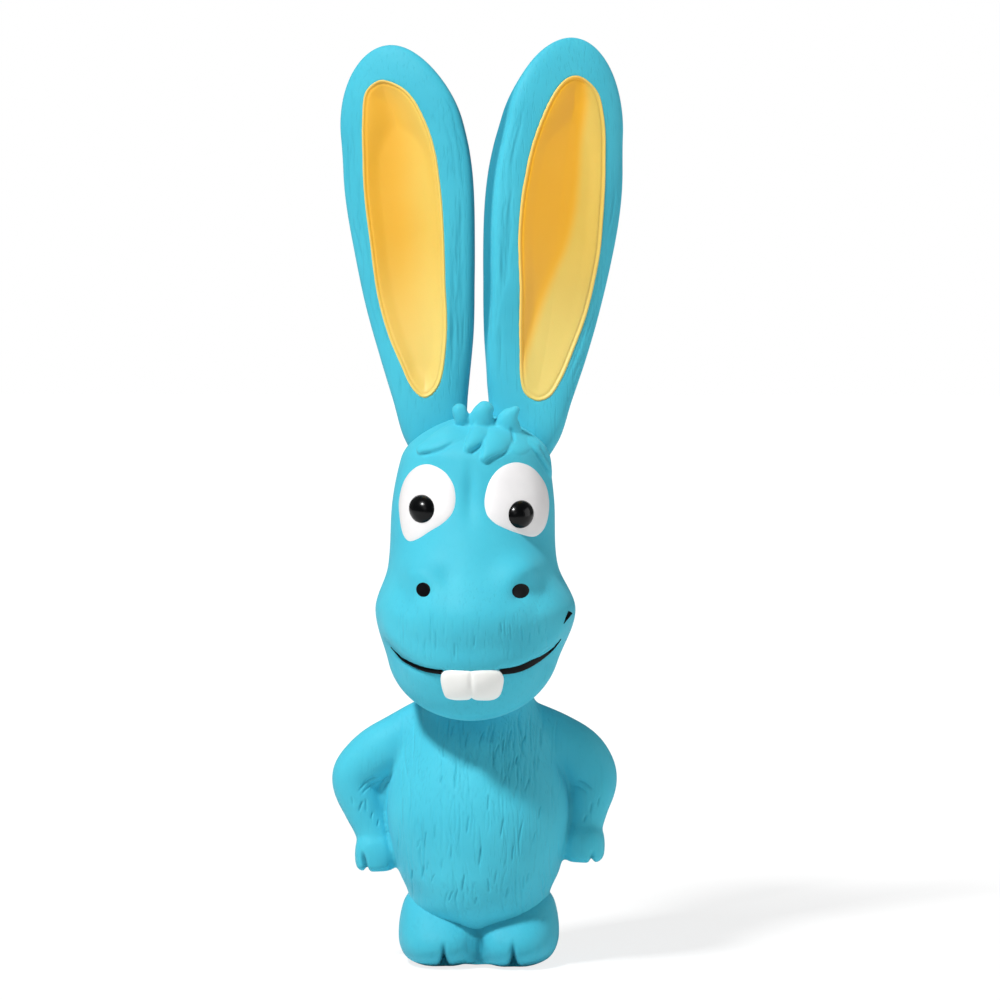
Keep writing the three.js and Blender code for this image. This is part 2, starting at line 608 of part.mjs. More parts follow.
// Squeaker: a cup that grips the lip of the base, its lid, and a reed clamped on a half-open tube.
function buildSqueaker() {
  const group = new THREE.Group();
  group.position.set(0, SQUEAKER.y, FLANGE_RECESS);
  const { flange, neck, collar, bore, outlet, height } = SQUEAKER;
  const collarLow = FLANGE_THICK + LIP_THICK + 2 * GAP;
  const housing = turnedGeometry(ringProfile([
    [outlet, 0], [flange, 0], [flange, FLANGE_THICK], [neck, FLANGE_THICK], [neck, collarLow],
    [collar, collarLow], [neck, collarLow + COLLAR_THICK], [neck, height], [bore, height],
    [bore, FLOOR_THICK], [outlet, FLOOR_THICK],
  ]));
  const lid = turnedGeometry(ringProfile([
    [LID.inlet, height - LID.spigot], [bore - GAP, height - LID.spigot], [bore - GAP, height + GAP],
    [neck, height + GAP], [neck, height + GAP + LID.thick], [LID.inlet, height + GAP + LID.thick],
  ]));

  const foot = FLOOR_THICK + GAP;
  const tube = turnedSolid(ringProfile([
    [REED_TUBE.bore, 0], [REED_TUBE.radius, 0],
    [REED_TUBE.radius, REED_TUBE.height], [REED_TUBE.bore, REED_TUBE.height],
  ])).add(turnedSolid([
    new THREE.Vector2(0, REED_TUBE.height - REED_TUBE.roof),
    new THREE.Vector2(REED_TUBE.radius, REED_TUBE.height - REED_TUBE.roof),
    new THREE.Vector2(REED_TUBE.radius, REED_TUBE.height),
    new THREE.Vector2(0, REED_TUBE.height),
  ]));
  const spare = REED_TUBE.radius * 2;
  const front = new THREE.Vector3(spare, spare, REED_TUBE.height * 2);
  const flat = boxSolid(front, new THREE.Vector3(0, -REED_TUBE.flat - spare / 2, REED_TUBE.height / 2));

  const reedY = -REED_TUBE.flat - GAP - REED.thick / 2;
  const clampY = reedY - REED.thick / 2 - GAP - CLAMP.depth / 2;
  const reedShape = new THREE.BoxGeometry(REED.width, REED.thick, REED.height);
  const clampShape = new THREE.BoxGeometry(CLAMP.width, CLAMP.depth, CLAMP.height);
  group.add(mesh("squeaker_housing", housing, SQUEAKER_WHITE));
  group.add(mesh("squeaker_lid", lid, SQUEAKER_WHITE));
  group.add(mesh("reed_tube", tube.subtract(flat).translate(0, 0, foot), SQUEAKER_WHITE));
  group.add(mesh("reed", reedShape.translate(0, reedY, foot + REED.lift + REED.height / 2), REED_CLEAR));
  group.add(mesh("reed_clamp", clampShape.translate(0, clampY, foot + CLAMP.height / 2), SQUEAKER_WHITE));
  return group;
}

const toy = new THREE.Group();
toy.name = "squeaky_dog_toy";
toy.add(buildTorso(), buildHead(), buildSqueaker());
for (const [name, side] of Object.entries(SIDES)) toy.add(buildArm(name, side), buildFoot(name, side));

// The origin is the middle of the foot of the bounding box.
const box = new THREE.Box3().setFromObject(toy, true);
const centre = box.getCenter(new THREE.Vector3());
toy.position.set(-centre.x, -centre.y, -box.min.z);

export default toy;
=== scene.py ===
"""Dresses the squeaky dog toy: a long-eared moulded latex animal with painted details.

Pieces are shaped in millimetres about the neck's upright axis, with z from the ground, and then placed
in the frame in metres. The studio's sizes are in metres.
"""

import json
import logging
import math
from dataclasses import dataclass
from enum import Enum

import bpy
import numpy as np
from mathutils import Matrix, Vector
from mathutils.bvhtree import BVHTree


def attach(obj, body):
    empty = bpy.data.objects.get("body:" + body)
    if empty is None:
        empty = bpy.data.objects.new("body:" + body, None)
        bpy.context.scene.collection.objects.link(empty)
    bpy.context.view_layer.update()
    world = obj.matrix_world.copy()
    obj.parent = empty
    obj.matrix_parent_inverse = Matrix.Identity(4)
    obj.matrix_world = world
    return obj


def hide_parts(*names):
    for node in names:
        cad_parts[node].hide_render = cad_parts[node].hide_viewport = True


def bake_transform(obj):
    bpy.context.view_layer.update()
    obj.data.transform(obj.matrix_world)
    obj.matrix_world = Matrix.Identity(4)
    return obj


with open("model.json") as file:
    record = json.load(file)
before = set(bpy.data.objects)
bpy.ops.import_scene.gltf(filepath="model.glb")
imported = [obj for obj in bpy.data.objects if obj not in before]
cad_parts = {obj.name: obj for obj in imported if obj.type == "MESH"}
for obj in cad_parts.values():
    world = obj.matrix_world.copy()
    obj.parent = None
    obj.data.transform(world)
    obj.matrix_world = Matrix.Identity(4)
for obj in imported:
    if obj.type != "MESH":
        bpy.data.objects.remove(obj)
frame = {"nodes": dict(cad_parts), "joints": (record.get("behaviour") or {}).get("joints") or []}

LOG = logging.getLogger("squeaky_toy")
MM = 0.001
MOST_TRIANGLES = 194_000
MERGE_GAP = 0.0005
SMOOTH_FACTOR = 0.5
PATH_STEPS = 200
TINY = 1e-6
RAY_START_Y = -200.0
FRONT = np.array([0.0, -1.0, 0.0])
AHEAD = -0.2
BEHIND = Vector((0.0, 1.0, 0.0))

Array = np.ndarray
Pair = tuple[float, float]
Triple = tuple[float, float, float]
Row = tuple[float, ...]
Line = tuple[Pair, ...]
Colour = tuple[float, float, float, float]

WHITE: Colour = (1.0, 1.0, 1.0, 1.0)
BLACK: Colour = (0.0, 0.0, 0.0, 1.0)


class Body(Enum):
    """The bodies of the model that pieces move with."""

    TORSO = "torso"
    BELLY = "belly"
    HEAD = "head"
    LEFT_EAR = "left_ear"
    RIGHT_EAR = "right_ear"


class Slot(Enum):
    """The record's material slots that these pieces use."""

    LATEX_BLUE = "latex_blue"
    LATEX_YELLOW = "latex_yellow"
    PAINT_WHITE = "paint_white"
    TOOTH_WHITE = "tooth_white"
    PAINT_BLACK = "paint_black"
    FIBRE = "fibre"


class Side(Enum):
    """The toy's own left and right, as the sign of x."""

    LEFT = 1.0
    RIGHT = -1.0


# Number helpers


def held(value: Array) -> Array:
    """Returns numbers held between 0 and 1."""
    return np.minimum(np.maximum(value, 0.0), 1.0)


def ease(low: float, high: float, value: Array) -> Array:
    """Returns a smooth step from 0 at low to 1 at high."""
    t = held((value - low) / (high - low))
    return t * t * (3.0 - 2.0 * t)


def spline(knots: Array, values: Array, at: Array) -> Array:
    """Runs a smooth curve through values at knots.

    Args:
        knots: The rising places of the values.
        values: One value for each knot.
        at: The places to read, which are held inside the knots.

    Returns:
        The curve's value at each place.
    """
    slopes = np.gradient(values, knots)
    slopes[1:-1] = (values[2:] - values[:-2]) / (knots[2:] - knots[:-2])
    at = np.clip(at, knots[0], knots[-1])
    i = np.clip(np.searchsorted(knots, at) - 1, 0, len(knots) - 2)
    gap = knots[i + 1] - knots[i]
    t = (at - knots[i]) / gap
    start = (1.0 + 2.0 * t) * (1.0 - t) ** 2 * values[i] + t * (1.0 - t) ** 2 * gap * slopes[i]
    end = t * t * (3.0 - 2.0 * t) * values[i + 1] + t * t * (t - 1.0) * gap * slopes[i + 1]
    return start + end


def smooth_path(points: Array, count: int, closed: bool = False) -> Array:
    """Draws a smooth line through points.

    Args:
        points: The points, one to a row.
        count: How many points the line has.
        closed: Whether the line comes back to its start.

    Returns:
        The line's points, one to a row.
    """
    points = np.asarray(points, float)
    if closed:
        points = np.vstack([points[-2:], points, points[:3]])
    step = np.linalg.norm(np.diff(points, axis=0), axis=1)
    place = np.concatenate([[0.0], np.cumsum(step)])
    first, last = (place[2], place[-3]) if closed else (place[0], place[-1])
    at = np.linspace(first, last, count, endpoint=not closed)
    return np.stack([spline(place, points[:, k], at) for k in range(points.shape[1])], axis=1)


def to_path(points: Array, path: Array) -> tuple[Array, Array]:
    """Measures how far points are from a line.

    Args:
        points: The points, one to a row.
        path: The line's points, one to a row.

    Returns:
        The distance of each point, and how far along the line it is, from 0 to 1.
    """
    best = np.full(len(points), np.inf)
    along = np.zeros(len(points))
    total = np.linalg.norm(np.diff(path, axis=0), axis=1).sum()
    before = 0.0
    for start, end in zip(path[:-1], path[1:]):
        run = end - start
        length = max(float(np.linalg.norm(run)), 1e-9)
        t = held(((points - start) @ run) / length**2)
        gap = np.linalg.norm(points - start - t[:, None] * run, axis=1)
        nearer = gap < best
        best[nearer] = gap[nearer]
        along[nearer] = (before + t[nearer] * length) / total
        before += length
    return best, along


def within(span: Pair, at: Array) -> Array:
    """Returns whether each number lies inside a span."""
    return (at > span[0]) & (at < span[1])


def edge_of(outline: Line, count: int) -> tuple[Array, Array, Array]:
    """Measures a closed outline about its middle.

    Args:
        outline: The outline's points.
        count: How many points the smooth outline has.

    Returns:
        The middle, the rising angles of the outline's points about it, and their distance from it.
    """
    line = smooth_path(np.array(outline), count, closed=True)
    centre = (line.min(axis=0) + line.max(axis=0)) / 2.0
    ring = line - centre
    turn = np.arctan2(ring[:, 1], ring[:, 0])
    order = np.argsort(turn)
    return centre, turn[order], np.linalg.norm(ring, axis=1)[order]


def ball_place(ball: Array) -> tuple[Array, Array]:
    """Returns the angle of a unit ball's points about its poles, and their rise from 0 to 1."""
    angle = np.arctan2(ball[:, 1], ball[:, 0])
    return angle, 1.0 - np.arccos(np.clip(ball[:, 2], -1.0, 1.0)) / math.pi


# Mesh helpers


def read(items: bpy.types.bpy_prop_collection, name: str, size: int = 1, kind: type = float) -> Array:
    """Reads one property of every item.

    Args:
        items: The points, corners or faces of a mesh.
        name: The property's name.
        size: How many numbers each item has.
        kind: The numbers' type.

    Returns:
        The numbers in one row.
    """
    flat = np.empty(len(items) * size, kind)
    items.foreach_get(name, flat)
    return flat


def front_hit(skin: BVHTree, x: float, z: float) -> tuple[Vector | None, Vector | None]:
    """Returns where a surface is met from the front, and its direction there."""
    hit, normal, _, _ = skin.ray_cast(Vector((x, RAY_START_Y, z)), BEHIND)
    return hit, normal


class Clay:
    """A mesh object that is shaped in millimetres and then placed in the frame."""

    def __init__(self, obj: bpy.types.Object) -> None:
        """Keeps the object that is worked on."""
        self.obj = obj

    @classmethod
    def sphere(cls, name: str, segments: int, rings: int) -> "Clay":
        """Adds a unit ball with its poles up and down.

        Args:
            name: The object's name.
            segments: How many faces it has round.
            rings: How many faces it has from pole to pole.

        Returns:
            The ball.
        """
        bpy.ops.mesh.primitive_uv_sphere_add(segments=segments, ring_count=rings, radius=1.0)
        obj = bpy.context.object
        obj.name = name
        obj.data.name = name
        return cls(obj)

    @property
    def count(self) -> int:
        """The number of points."""
        return len(self.obj.data.vertices)

    def points(self) -> Array:
        """Returns the points, one to a row."""
        return read(self.obj.data.vertices, "co", 3).reshape(-1, 3)

    def side_up(self) -> tuple[Array, Array]:
        """Returns how far each point is from the middle plane, and its height."""
        points = self.points()
        return np.abs(points[:, 0]), points[:, 2]

    def move(self, points: Array) -> None:
        """Moves every point to its row."""
        self.obj.data.vertices.foreach_set("co", points.ravel())
        self.obj.data.update()

    def normals(self) -> Array:
        """Returns the direction out of the surface at each point."""
        return read(self.obj.data.vertex_normals, "vector", 3).reshape(-1, 3)

    def push(self, amount: Array) -> None:
        """Moves each point out of the surface by its amount."""
        self.move(self.points() + self.normals() * amount[:, None])

    def pick(self) -> None:
        """Selects this object alone and makes it the active one."""
        bpy.ops.object.select_all(action="DESELECT")
        self.obj.select_set(True)
        bpy.context.view_layer.objects.active = self.obj

    def apply(self, kind: str, **settings: object) -> None:
        """Adds a modifier and applies it.

        Args:
            kind: The modifier's type.
            **settings: Its settings.
        """
        modifier = self.obj.modifiers.new(kind.title(), kind)
        for name, value in settings.items():
            setattr(modifier, name, value)
        self.pick()
        bpy.ops.object.modifier_apply(modifier=modifier.name)

    def join(self, *others: "Clay") -> None:
        """Takes other objects' meshes into this one.

        Args:
            *others: The other objects.
        """
        self.pick()
        for other in others:
            other.obj.select_set(True)
        bpy.ops.object.join()

    def cut(self, other: "Clay") -> None:
        """Takes the other object's volume out of this one."""
        self.apply("BOOLEAN", operation="DIFFERENCE", object=other.obj, solver="EXACT")
        bpy.data.objects.remove(other.obj, do_unlink=True)

    def remesh(self, voxel: float) -> None:
        """Fuses all that overlaps into one even skin."""
        self.apply("REMESH", mode="VOXEL", voxel_size=voxel, adaptivity=0.0)

    def relax(self, rounds: int, weights: Array | None = None) -> None:
        """Smooths the surface.

        Args:
            rounds: How often each point moves towards its neighbours.
            weights: How much each point takes part, from 0 to 1, or all alike.
        """
        before = self.points()
        self.apply("SMOOTH", iterations=rounds, factor=SMOOTH_FACTOR)
        if weights is not None:
            self.move(before + (self.points() - before) * weights[:, None])

    def refine(self, chosen: Array) -> None:
        """Halves the mesh where every corner of a face is chosen.

        Args:
            chosen: Whether each point is chosen.
        """
        data = self.obj.data
        corners = read(data.loops, "vertex_index", kind=int)
        starts = read(data.polygons, "loop_start", kind=int)
        faces = np.minimum.reduceat(chosen[corners].astype(int), starts).astype(bool)
        data.vertices.foreach_set("select", np.zeros(len(data.vertices), bool))
        data.edges.foreach_set("select", np.zeros(len(data.edges), bool))
        data.polygons.foreach_set("select", faces)
        self.pick()
        bpy.context.tool_settings.mesh_select_mode = (False, False, True)
        bpy.ops.object.mode_set(mode="EDIT")
        bpy.ops.mesh.subdivide(number_cuts=1)
        bpy.ops.object.mode_set(mode="OBJECT")

    def thin(self, limit: int) -> None:
        """Merges the smallest and flattest faces where there are too many triangles.

        Args:
            limit: How many triangles may stay.
        """
        sides = read(self.obj.data.polygons, "loop_total", kind=int)
        triangles = int((sides - 2).sum())
        if triangles > limit:
            self.apply("DECIMATE", ratio=limit / triangles)

    def note(self, name: str, values: Array) -> None:
        """Keeps one number for each point, for a material to read.

        Args:
            name: What the numbers are called.
            values: The numbers.
        """
        data = self.obj.data
        layer = data.attributes.get(name) or data.attributes.new(name, "FLOAT", "POINT")
        layer.data.foreach_set("value", np.asarray(values, np.float32))

    def surface(self) -> BVHTree:
        """Makes a search tree of the present surface.

        Returns:
            The tree.
        """
        data = self.obj.data
        polygons = [tuple(p.vertices) for p in data.polygons]
        return BVHTree.FromPolygons([tuple(p) for p in self.points()], polygons)

    def close(self) -> None:
        """Merges points that lie on each other and turns all faces outwards."""
        self.pick()
        bpy.ops.object.mode_set(mode="EDIT")
        bpy.ops.mesh.select_all(action="SELECT")
        bpy.ops.mesh.remove_doubles(threshold=MERGE_GAP)
        bpy.ops.mesh.normals_make_consistent(inside=False)
        bpy.ops.object.mode_set(mode="OBJECT")

    def place(self, finish: bpy.types.Material, slot: Slot, *nodes: str) -> bpy.types.Object:
        """Puts the finished piece into the frame, in metres.

        Args:
            finish: Its material.
            slot: The record's slot that the finish belongs to; not used.
            nodes: The model's nodes that the piece stands for.

        Returns:
            The object, which still has to be given its body.
        """
        self.pick()
        bpy.ops.object.shade_smooth()
        self.obj.data.transform(Matrix.Scale(MM, 4) @ Matrix.Translation((0.0, AXIS_Y, 0.0)))
        self.obj.data.update()
        self.obj.data.materials.clear()
        self.obj.data.materials.append(finish)
        if nodes:
            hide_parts(*nodes)
        LOG.info("%s: %d points", self.obj.name, self.count)
        return self.obj


def joint_place(name: str) -> Array:
    """Returns a joint's place in the frame, in millimetres."""
    found = next(j for j in frame["joints"] if j["name"] == name)
    return np.array(found["pos_m"]) / MM


AXIS_Y = float(joint_place("head_turn")[1])


# Moulded forms


@dataclass(frozen=True)
class Level:
    """One height of a moulded skin: its full width, and its reach before and behind its middle."""

    rise: float
    width: float
    front: float
    back: float
    middle: float = 0.0


@dataclass(frozen=True)
class SkinProfile:
    """A moulded skin of stacked ovals, rounded off or flat at its ends."""

    levels: tuple[Level, ...]
    base: float = 0.0
    below: float = 0.0
    above: float = 0.0
    squareness: float = 2.0
    flat: float = 0.12

    @property
    def low(self) -> float:
        """The lowest height."""
        return self.base + self.levels[0].rise

    @property
    def high(self) -> float:
        """The highest height."""
        return self.base + self.levels[-1].rise

    def section(self, z: Array) -> tuple[Array, Array, Array, Array]:
        """Measures the form.

        Args:
            z: The heights.

        Returns:
            The half width, front reach, back reach and middle at each height.
        """
        knots = np.array([level.rise for level in self.levels]) + self.base
        table = np.array([[v.width / 2, v.front, v.back, v.middle] for v in self.levels])
        half, front, back, middle = (spline(knots, table[:, k].copy(), z) for k in range(4))
        full = np.ones_like(z)
        if self.below:
            full *= 1.0 - held((self.low + self.below - z) / self.below) ** 2
        if self.above:
            full *= 1.0 - held((z - self.high + self.above) / self.above) ** 2
        full = np.sqrt(np.maximum(full, 0.0))
        return half * full, front * full, back * full, middle

    def spread(self, ball: Array) -> tuple[Array, Array, Array]:
        """Finds where the points of a unit ball go on this form.

        Args:
            ball: The points of the ball, one to a row.

        Returns:
            The angle about the middle, the height, and the share of the radius of each point.
        """
        angle, up = ball_place(ball)
        low_end = self.flat if not self.below else 0.0
        high_end = 1.0 - self.flat if not self.above else 1.0
        share = np.ones(len(ball))
        if low_end:
            share = np.minimum(share, up / low_end)
        if high_end < 1.0:
            share = np.minimum(share, (1.0 - up) / (1.0 - high_end))
        t = held((up - low_end) / (high_end - low_end))
        if self.below and self.above:
            t = (1.0 - np.cos(math.pi * t)) / 2.0
        elif self.above:
            t = np.sin(math.pi * t / 2.0)
        return angle, self.low + (self.high - self.low) * t, share

    def shape(self, clay: Clay, grow: float = 0.0) -> None:
        """Moves the points of a unit ball onto the form.

        Args:
            clay: The ball.
            grow: How much thicker the form gets all round.
        """
        angle, z, share = self.spread(clay.points())
        half, front, back, middle = self.section(z)
        power = 2.0 / self.squareness
        across = np.sign(np.cos(angle)) * np.abs(np.cos(angle)) ** power
        deep = np.sign(np.sin(angle)) * np.abs(np.sin(angle)) ** power
        reach = np.where(deep < 0.0, front, back)
        x = np.maximum(half + grow, 0.0) * across * share
        y = middle + np.maximum(reach + grow, 0.0) * deep * share
        clay.move(np.stack([x, y, z], axis=1))


@dataclass(frozen=True)
class Strand:
    """A round-ended limb, tuft or lock along a path, with its half sizes at each point of the path."""

    path: tuple[Triple, ...]
    across: Row
    through: Row
    cap: float = 0.16

    def shape(self, clay: Clay) -> None:
        """Moves the points of a unit ball onto the strand.

        Args:
            clay: The ball.
        """
        angle, up = ball_place(clay.points())
        line = smooth_path(np.array(self.path), PATH_STEPS)
        knots = np.linspace(0.0, 1.0, len(self.path))
        lined = np.linspace(0.0, 1.0, PATH_STEPS)
        t = held((up - self.cap) / (1.0 - 2.0 * self.cap))
        start = held(1.0 - up / self.cap) * math.pi / 2.0
        end = held((up - 1.0 + self.cap) / self.cap) * math.pi / 2.0
        share = np.cos(start) * np.cos(end)
        across = spline(knots, np.array(self.across), t)
        through = spline(knots, np.array(self.through), t)
        tangent = np.gradient(line, axis=0)
        tangent /= np.linalg.norm(tangent, axis=1)[:, None]
        centre = np.stack([np.interp(t, lined, line[:, k]) for k in range(3)], axis=1)
        run = np.stack([np.interp(t, lined, tangent[:, k]) for k in range(3)], axis=1)
        run /= np.linalg.norm(run, axis=1)[:, None]
        facing = FRONT - (run @ FRONT)[:, None] * run
        facing /= np.linalg.norm(facing, axis=1)[:, None]
        sideways = np.cross(facing, run)
        out = (np.sin(end) - np.sin(start)) * np.minimum(across, through)
        points = centre + run * out[:, None]
        points += sideways * (np.cos(angle) * across * share)[:, None]
        points += facing * (np.sin(angle) * through * share)[:, None]
        clay.move(points)


@dataclass(frozen=True)
class Stroke:
    """A crease cut into a skin, or a ridge where depth is negative, along a line seen from the front."""

    path: Line
    width: float
    depth: float
    fade: Pair = (0.3, 0.3)
    both: bool = False
    seen_from: float = 0.3
    reach: float = 3.0

    def amount(self, points: Array, normals: Array) -> Array:
        """Measures the cut.

        Args:
            points: The skin's points, one to a row.
            normals: The directions out of the skin there.

        Returns:
            How far each point goes inwards.
        """
        line = np.array(self.path, float)
        if len(self.path) > 2:
            line = smooth_path(line, 6 * len(self.path))
        flat = points[:, [0, 2]]
        reach = self.reach * self.width
        low, high = line.min(axis=0) - reach, line.max(axis=0) + reach
        near = np.all((flat > low) & (flat < high), axis=1)
        if not self.both:
            near &= normals[:, 1] < 0.0
        result = np.zeros(len(points))
        if not near.any():
            return result
        gap, along = to_path(flat[near], line)
        fall = np.exp(-((gap / self.width) ** 2))
        if self.fade[0]:
            fall *= ease(0.0, self.fade[0], along)
        if self.fade[1]:
            fall *= ease(1.0, 1.0 - self.fade[1], along)
        if not self.both:
            fall *= ease(0.0, self.seen_from, -normals[near, 1])
        result[near] = self.depth * fall
        return result


@dataclass(frozen=True)
class Mound:
    """A soft swelling, or a dent where height is negative, seen from the front."""

    at: Pair
    size: Pair
    height: float
    facing: Pair = (-0.1, 0.3)

    def amount(self, points: Array, normals: Array) -> Array:
        """Measures the swelling.

        Args:
            points: The skin's points, one to a row.
            normals: The directions out of the skin there.

        Returns:
            How far each point goes outwards.
        """
        dx, dz = points[:, 0] - self.at[0], points[:, 2] - self.at[1]
        fall = np.exp(-((dx / self.size[0]) ** 2) - (dz / self.size[1]) ** 2)
        return self.height * fall * ease(*self.facing, -normals[:, 1])


@dataclass(frozen=True)
class Lock:
    """A rounded lock of hair that lies on the skin, from its root to its tip, seen from the front."""

    path: Line
    across: Row
    rise: float
    roundness: float = 0.65
    root: float = 0.5
    facing: Pair = (-0.05, 0.25)

    def amount(self, points: Array, normals: Array) -> Array:
        """Measures the lock.

        Args:
            points: The skin's points, one to a row.
            normals: The directions out of the skin there.

        Returns:
            How far each point goes outwards.
        """
        line = smooth_path(np.array(self.path, float), 8 * len(self.path))
        gap, along = to_path(points[:, [0, 2]], line)
        half = np.interp(along, np.linspace(0.0, 1.0, len(self.across)), self.across)
        rounded = held(1.0 - (gap / half) ** 2) ** self.roundness
        return self.rise * rounded * ease(0.0, self.root, along) * ease(*self.facing, -normals[:, 1])


def carve(clay: Clay, strokes: list[Stroke]) -> Array:
    """Cuts strokes into a skin.

    Args:
        clay: The skin.
        strokes: The creases and ridges.

    Returns:
        How deep each point was cut, for its material.
    """
    points, normals = clay.points(), clay.normals()
    depth = np.zeros(len(points))
    for stroke in strokes:
        depth += stroke.amount(points, normals)
    clay.move(points - normals * depth[:, None])
    return depth


@dataclass(frozen=True)
class Fur:
    """Short upright strokes scattered over a field seen from the front.

    Each pair runs from the least to the most. Slant and bow are the spread of how far strokes lean and
    bend, as shares of their length.
    """

    count: int
    across: Pair
    up: Pair
    length: Pair
    depth: Pair
    width: Pair
    slant: float
    bow: float = 0.06

    def strokes(self, rng: np.random.Generator) -> list[Stroke]:
        """Draws the strokes at random places.

        Args:
            rng: The seeded source of random numbers.

        Returns:
            The strokes.
        """
        made = []
        for _ in range(self.count):
            x, z = rng.uniform(*self.across), rng.uniform(*self.up)
            run = rng.uniform(*self.length)
            lean = rng.normal(0.0, self.slant) * run
            bow = rng.normal(0.0, self.bow) * run
            path = ((x + lean / 2, z + run / 2), (x + bow, z), (x - lean / 2, z - run / 2))
            made.append(Stroke(path, rng.uniform(*self.width), rng.uniform(*self.depth)))
        return made


def hair_path(mark: Triple, lean: float, bow: float = 0.0) -> Line:
    """Returns the line of a single hair.

    Args:
        mark: The hair's side, top and bottom.
        lean: How far its ends are to either side.
        bow: How far its middle bends back, as a share of the lean.

    Returns:
        The line's points.
    """
    x, top, bottom = mark
    return ((x + lean, top), (x - bow * lean, (top + bottom) / 2), (x - lean, bottom))


@dataclass(frozen=True)
class Hairs:
    """Single hairs at chosen places, each given by its side, top and bottom.

    Lean is the middle and the spread of how far a hair's ends are to either side. Width and depth run
    from the least to the most.
    """

    marks: tuple[Triple, ...]
    lean: Pair
    width: Pair
    depth: Pair
    bow: float = 0.3

    def strokes(self, rng: np.random.Generator) -> list[Stroke]:
        """Draws one stroke at each mark.

        Args:
            rng: The seeded source of random numbers.

        Returns:
            The strokes.
        """
        made = []
        for mark in self.marks:
            path = hair_path(mark, rng.normal(*self.lean), self.bow)
            made.append(Stroke(path, rng.uniform(*self.width), rng.uniform(*self.depth)))
        return made


@dataclass(frozen=True)
class Stuffing:
    """A lumpy fibre filling inside a skin: its gap to the skin, and its lowest and highest level."""

    inset: float
    low: float
    high: float
    lumps: Triple = (0.9, 0.8, 0.7)
    lump_height: float = 0.35

    def build(self, name: str, skin: SkinProfile) -> Clay:
        """Models the filling.

        Args:
            name: The piece's name.
            skin: The form of the skin round it.

        Returns:
            The filling.
        """
        clay = Clay.sphere(name, 96, 96)
        skin.shape(clay, -self.inset)
        points = clay.points()
        points[:, 2] = np.clip(points[:, 2], self.low, self.high)
        clay.move(points)
        clay.push(self.lump_height * np.prod(np.sin(points * np.array(self.lumps)), axis=1))
        return clay


# Shader tools


class Value:
    """A number that varies over a surface, for use in Python arithmetic."""

    def __init__(self, nodes: "Nodes", socket: bpy.types.NodeSocket) -> None:
        """Keeps the socket that gives the number."""
        self.nodes = nodes
        self.socket = socket

    def _math(self, operation: str, first: object, second: object) -> "Value":
        """Adds one Math node."""
        node = self.nodes.node("ShaderNodeMath", {"operation": operation}, {0: first, 1: second})
        return Value(self.nodes, node.outputs[0])

    def __add__(self, other: object) -> "Value":
        """Adds."""
        return self._math("ADD", self, other)

    __radd__ = __add__

    def __sub__(self, other: object) -> "Value":
        """Subtracts."""
        return self._math("SUBTRACT", self, other)

    def __rsub__(self, other: object) -> "Value":
        """Subtracts from a number."""
        return self._math("SUBTRACT", other, self)

    def __mul__(self, other: object) -> "Value":
        """Multiplies."""
        return self._math("MULTIPLY", self, other)

    __rmul__ = __mul__

    def clamped(self) -> "Value":
        """Holds the number between 0 and 1."""
        return self._math("MINIMUM", self._math("MAXIMUM", self, 0.0), 1.0)

    def between(self, low: float, high: float) -> "Value":
        """Returns 0 at low and 1 at high, held between."""
        return ((self - low) * (1.0 / (high - low))).clamped()

    def about(self, middle: float, spread: float) -> "Value":
        """Turns noise from 0 to 1 into numbers of that full spread about a middle."""
        return self * spread + (middle - spread / 2.0)


def srgb(code: str) -> Colour:
    """Turns a colour of the screen into linear numbers.

    Args:
        code: The colour as six hex digits.

    Returns:
        Its red, green and blue, and full cover.
    """
    parts = [int(code[i : i + 2], 16) / 255.0 for i in (0, 2, 4)]
    line = [c / 12.92 if c <= 0.04045 else ((c + 0.055) / 1.055) ** 2.4 for c in parts]
    return (line[0], line[1], line[2], 1.0)


class Nodes:
    """A node tree, and the one way in which nodes are added to it."""

    def __init__(self, tree: bpy.types.NodeTree) -> None:
        """Keeps the tree."""
        self.tree = tree

    def node(self, kind: str, settings: dict[str, object], inputs: dict[object, object]) -> bpy.types.Node:
        """Adds a node.

        Args:
            kind: The node's type.
            settings: Its settings, which are set first.
            inputs: The values or links of its sockets, by name or number.

        Returns:
            The node.
        """
        node = self.tree.nodes.new(kind)
        for name, value in settings.items():
            setattr(node, name, value)
        for key, value in inputs.items():
            self.feed(node.inputs[key], value)
        return node

    def feed(self, socket: bpy.types.NodeSocket, value: object) -> None:
        """Sets or links a socket.

        Args:
            socket: The socket.
            value: A number, a colour, or what the socket is linked to.
        """
        if isinstance(value, Value):
            self.tree.links.new(value.socket, socket)
        elif isinstance(value, bpy.types.NodeSocket):
            self.tree.links.new(value, socket)
        else:
            socket.default_value = value

    def seen(self) -> Value:
        """Returns 1 for what the camera sees, also through something clear, and 0 for other rays."""
        rays = self.node("ShaderNodeLightPath", {}, {}).outputs
        return (Value(self, rays["Is Camera Ray"]) + Value(self, rays["Is Transmission Ray"])).clamped()


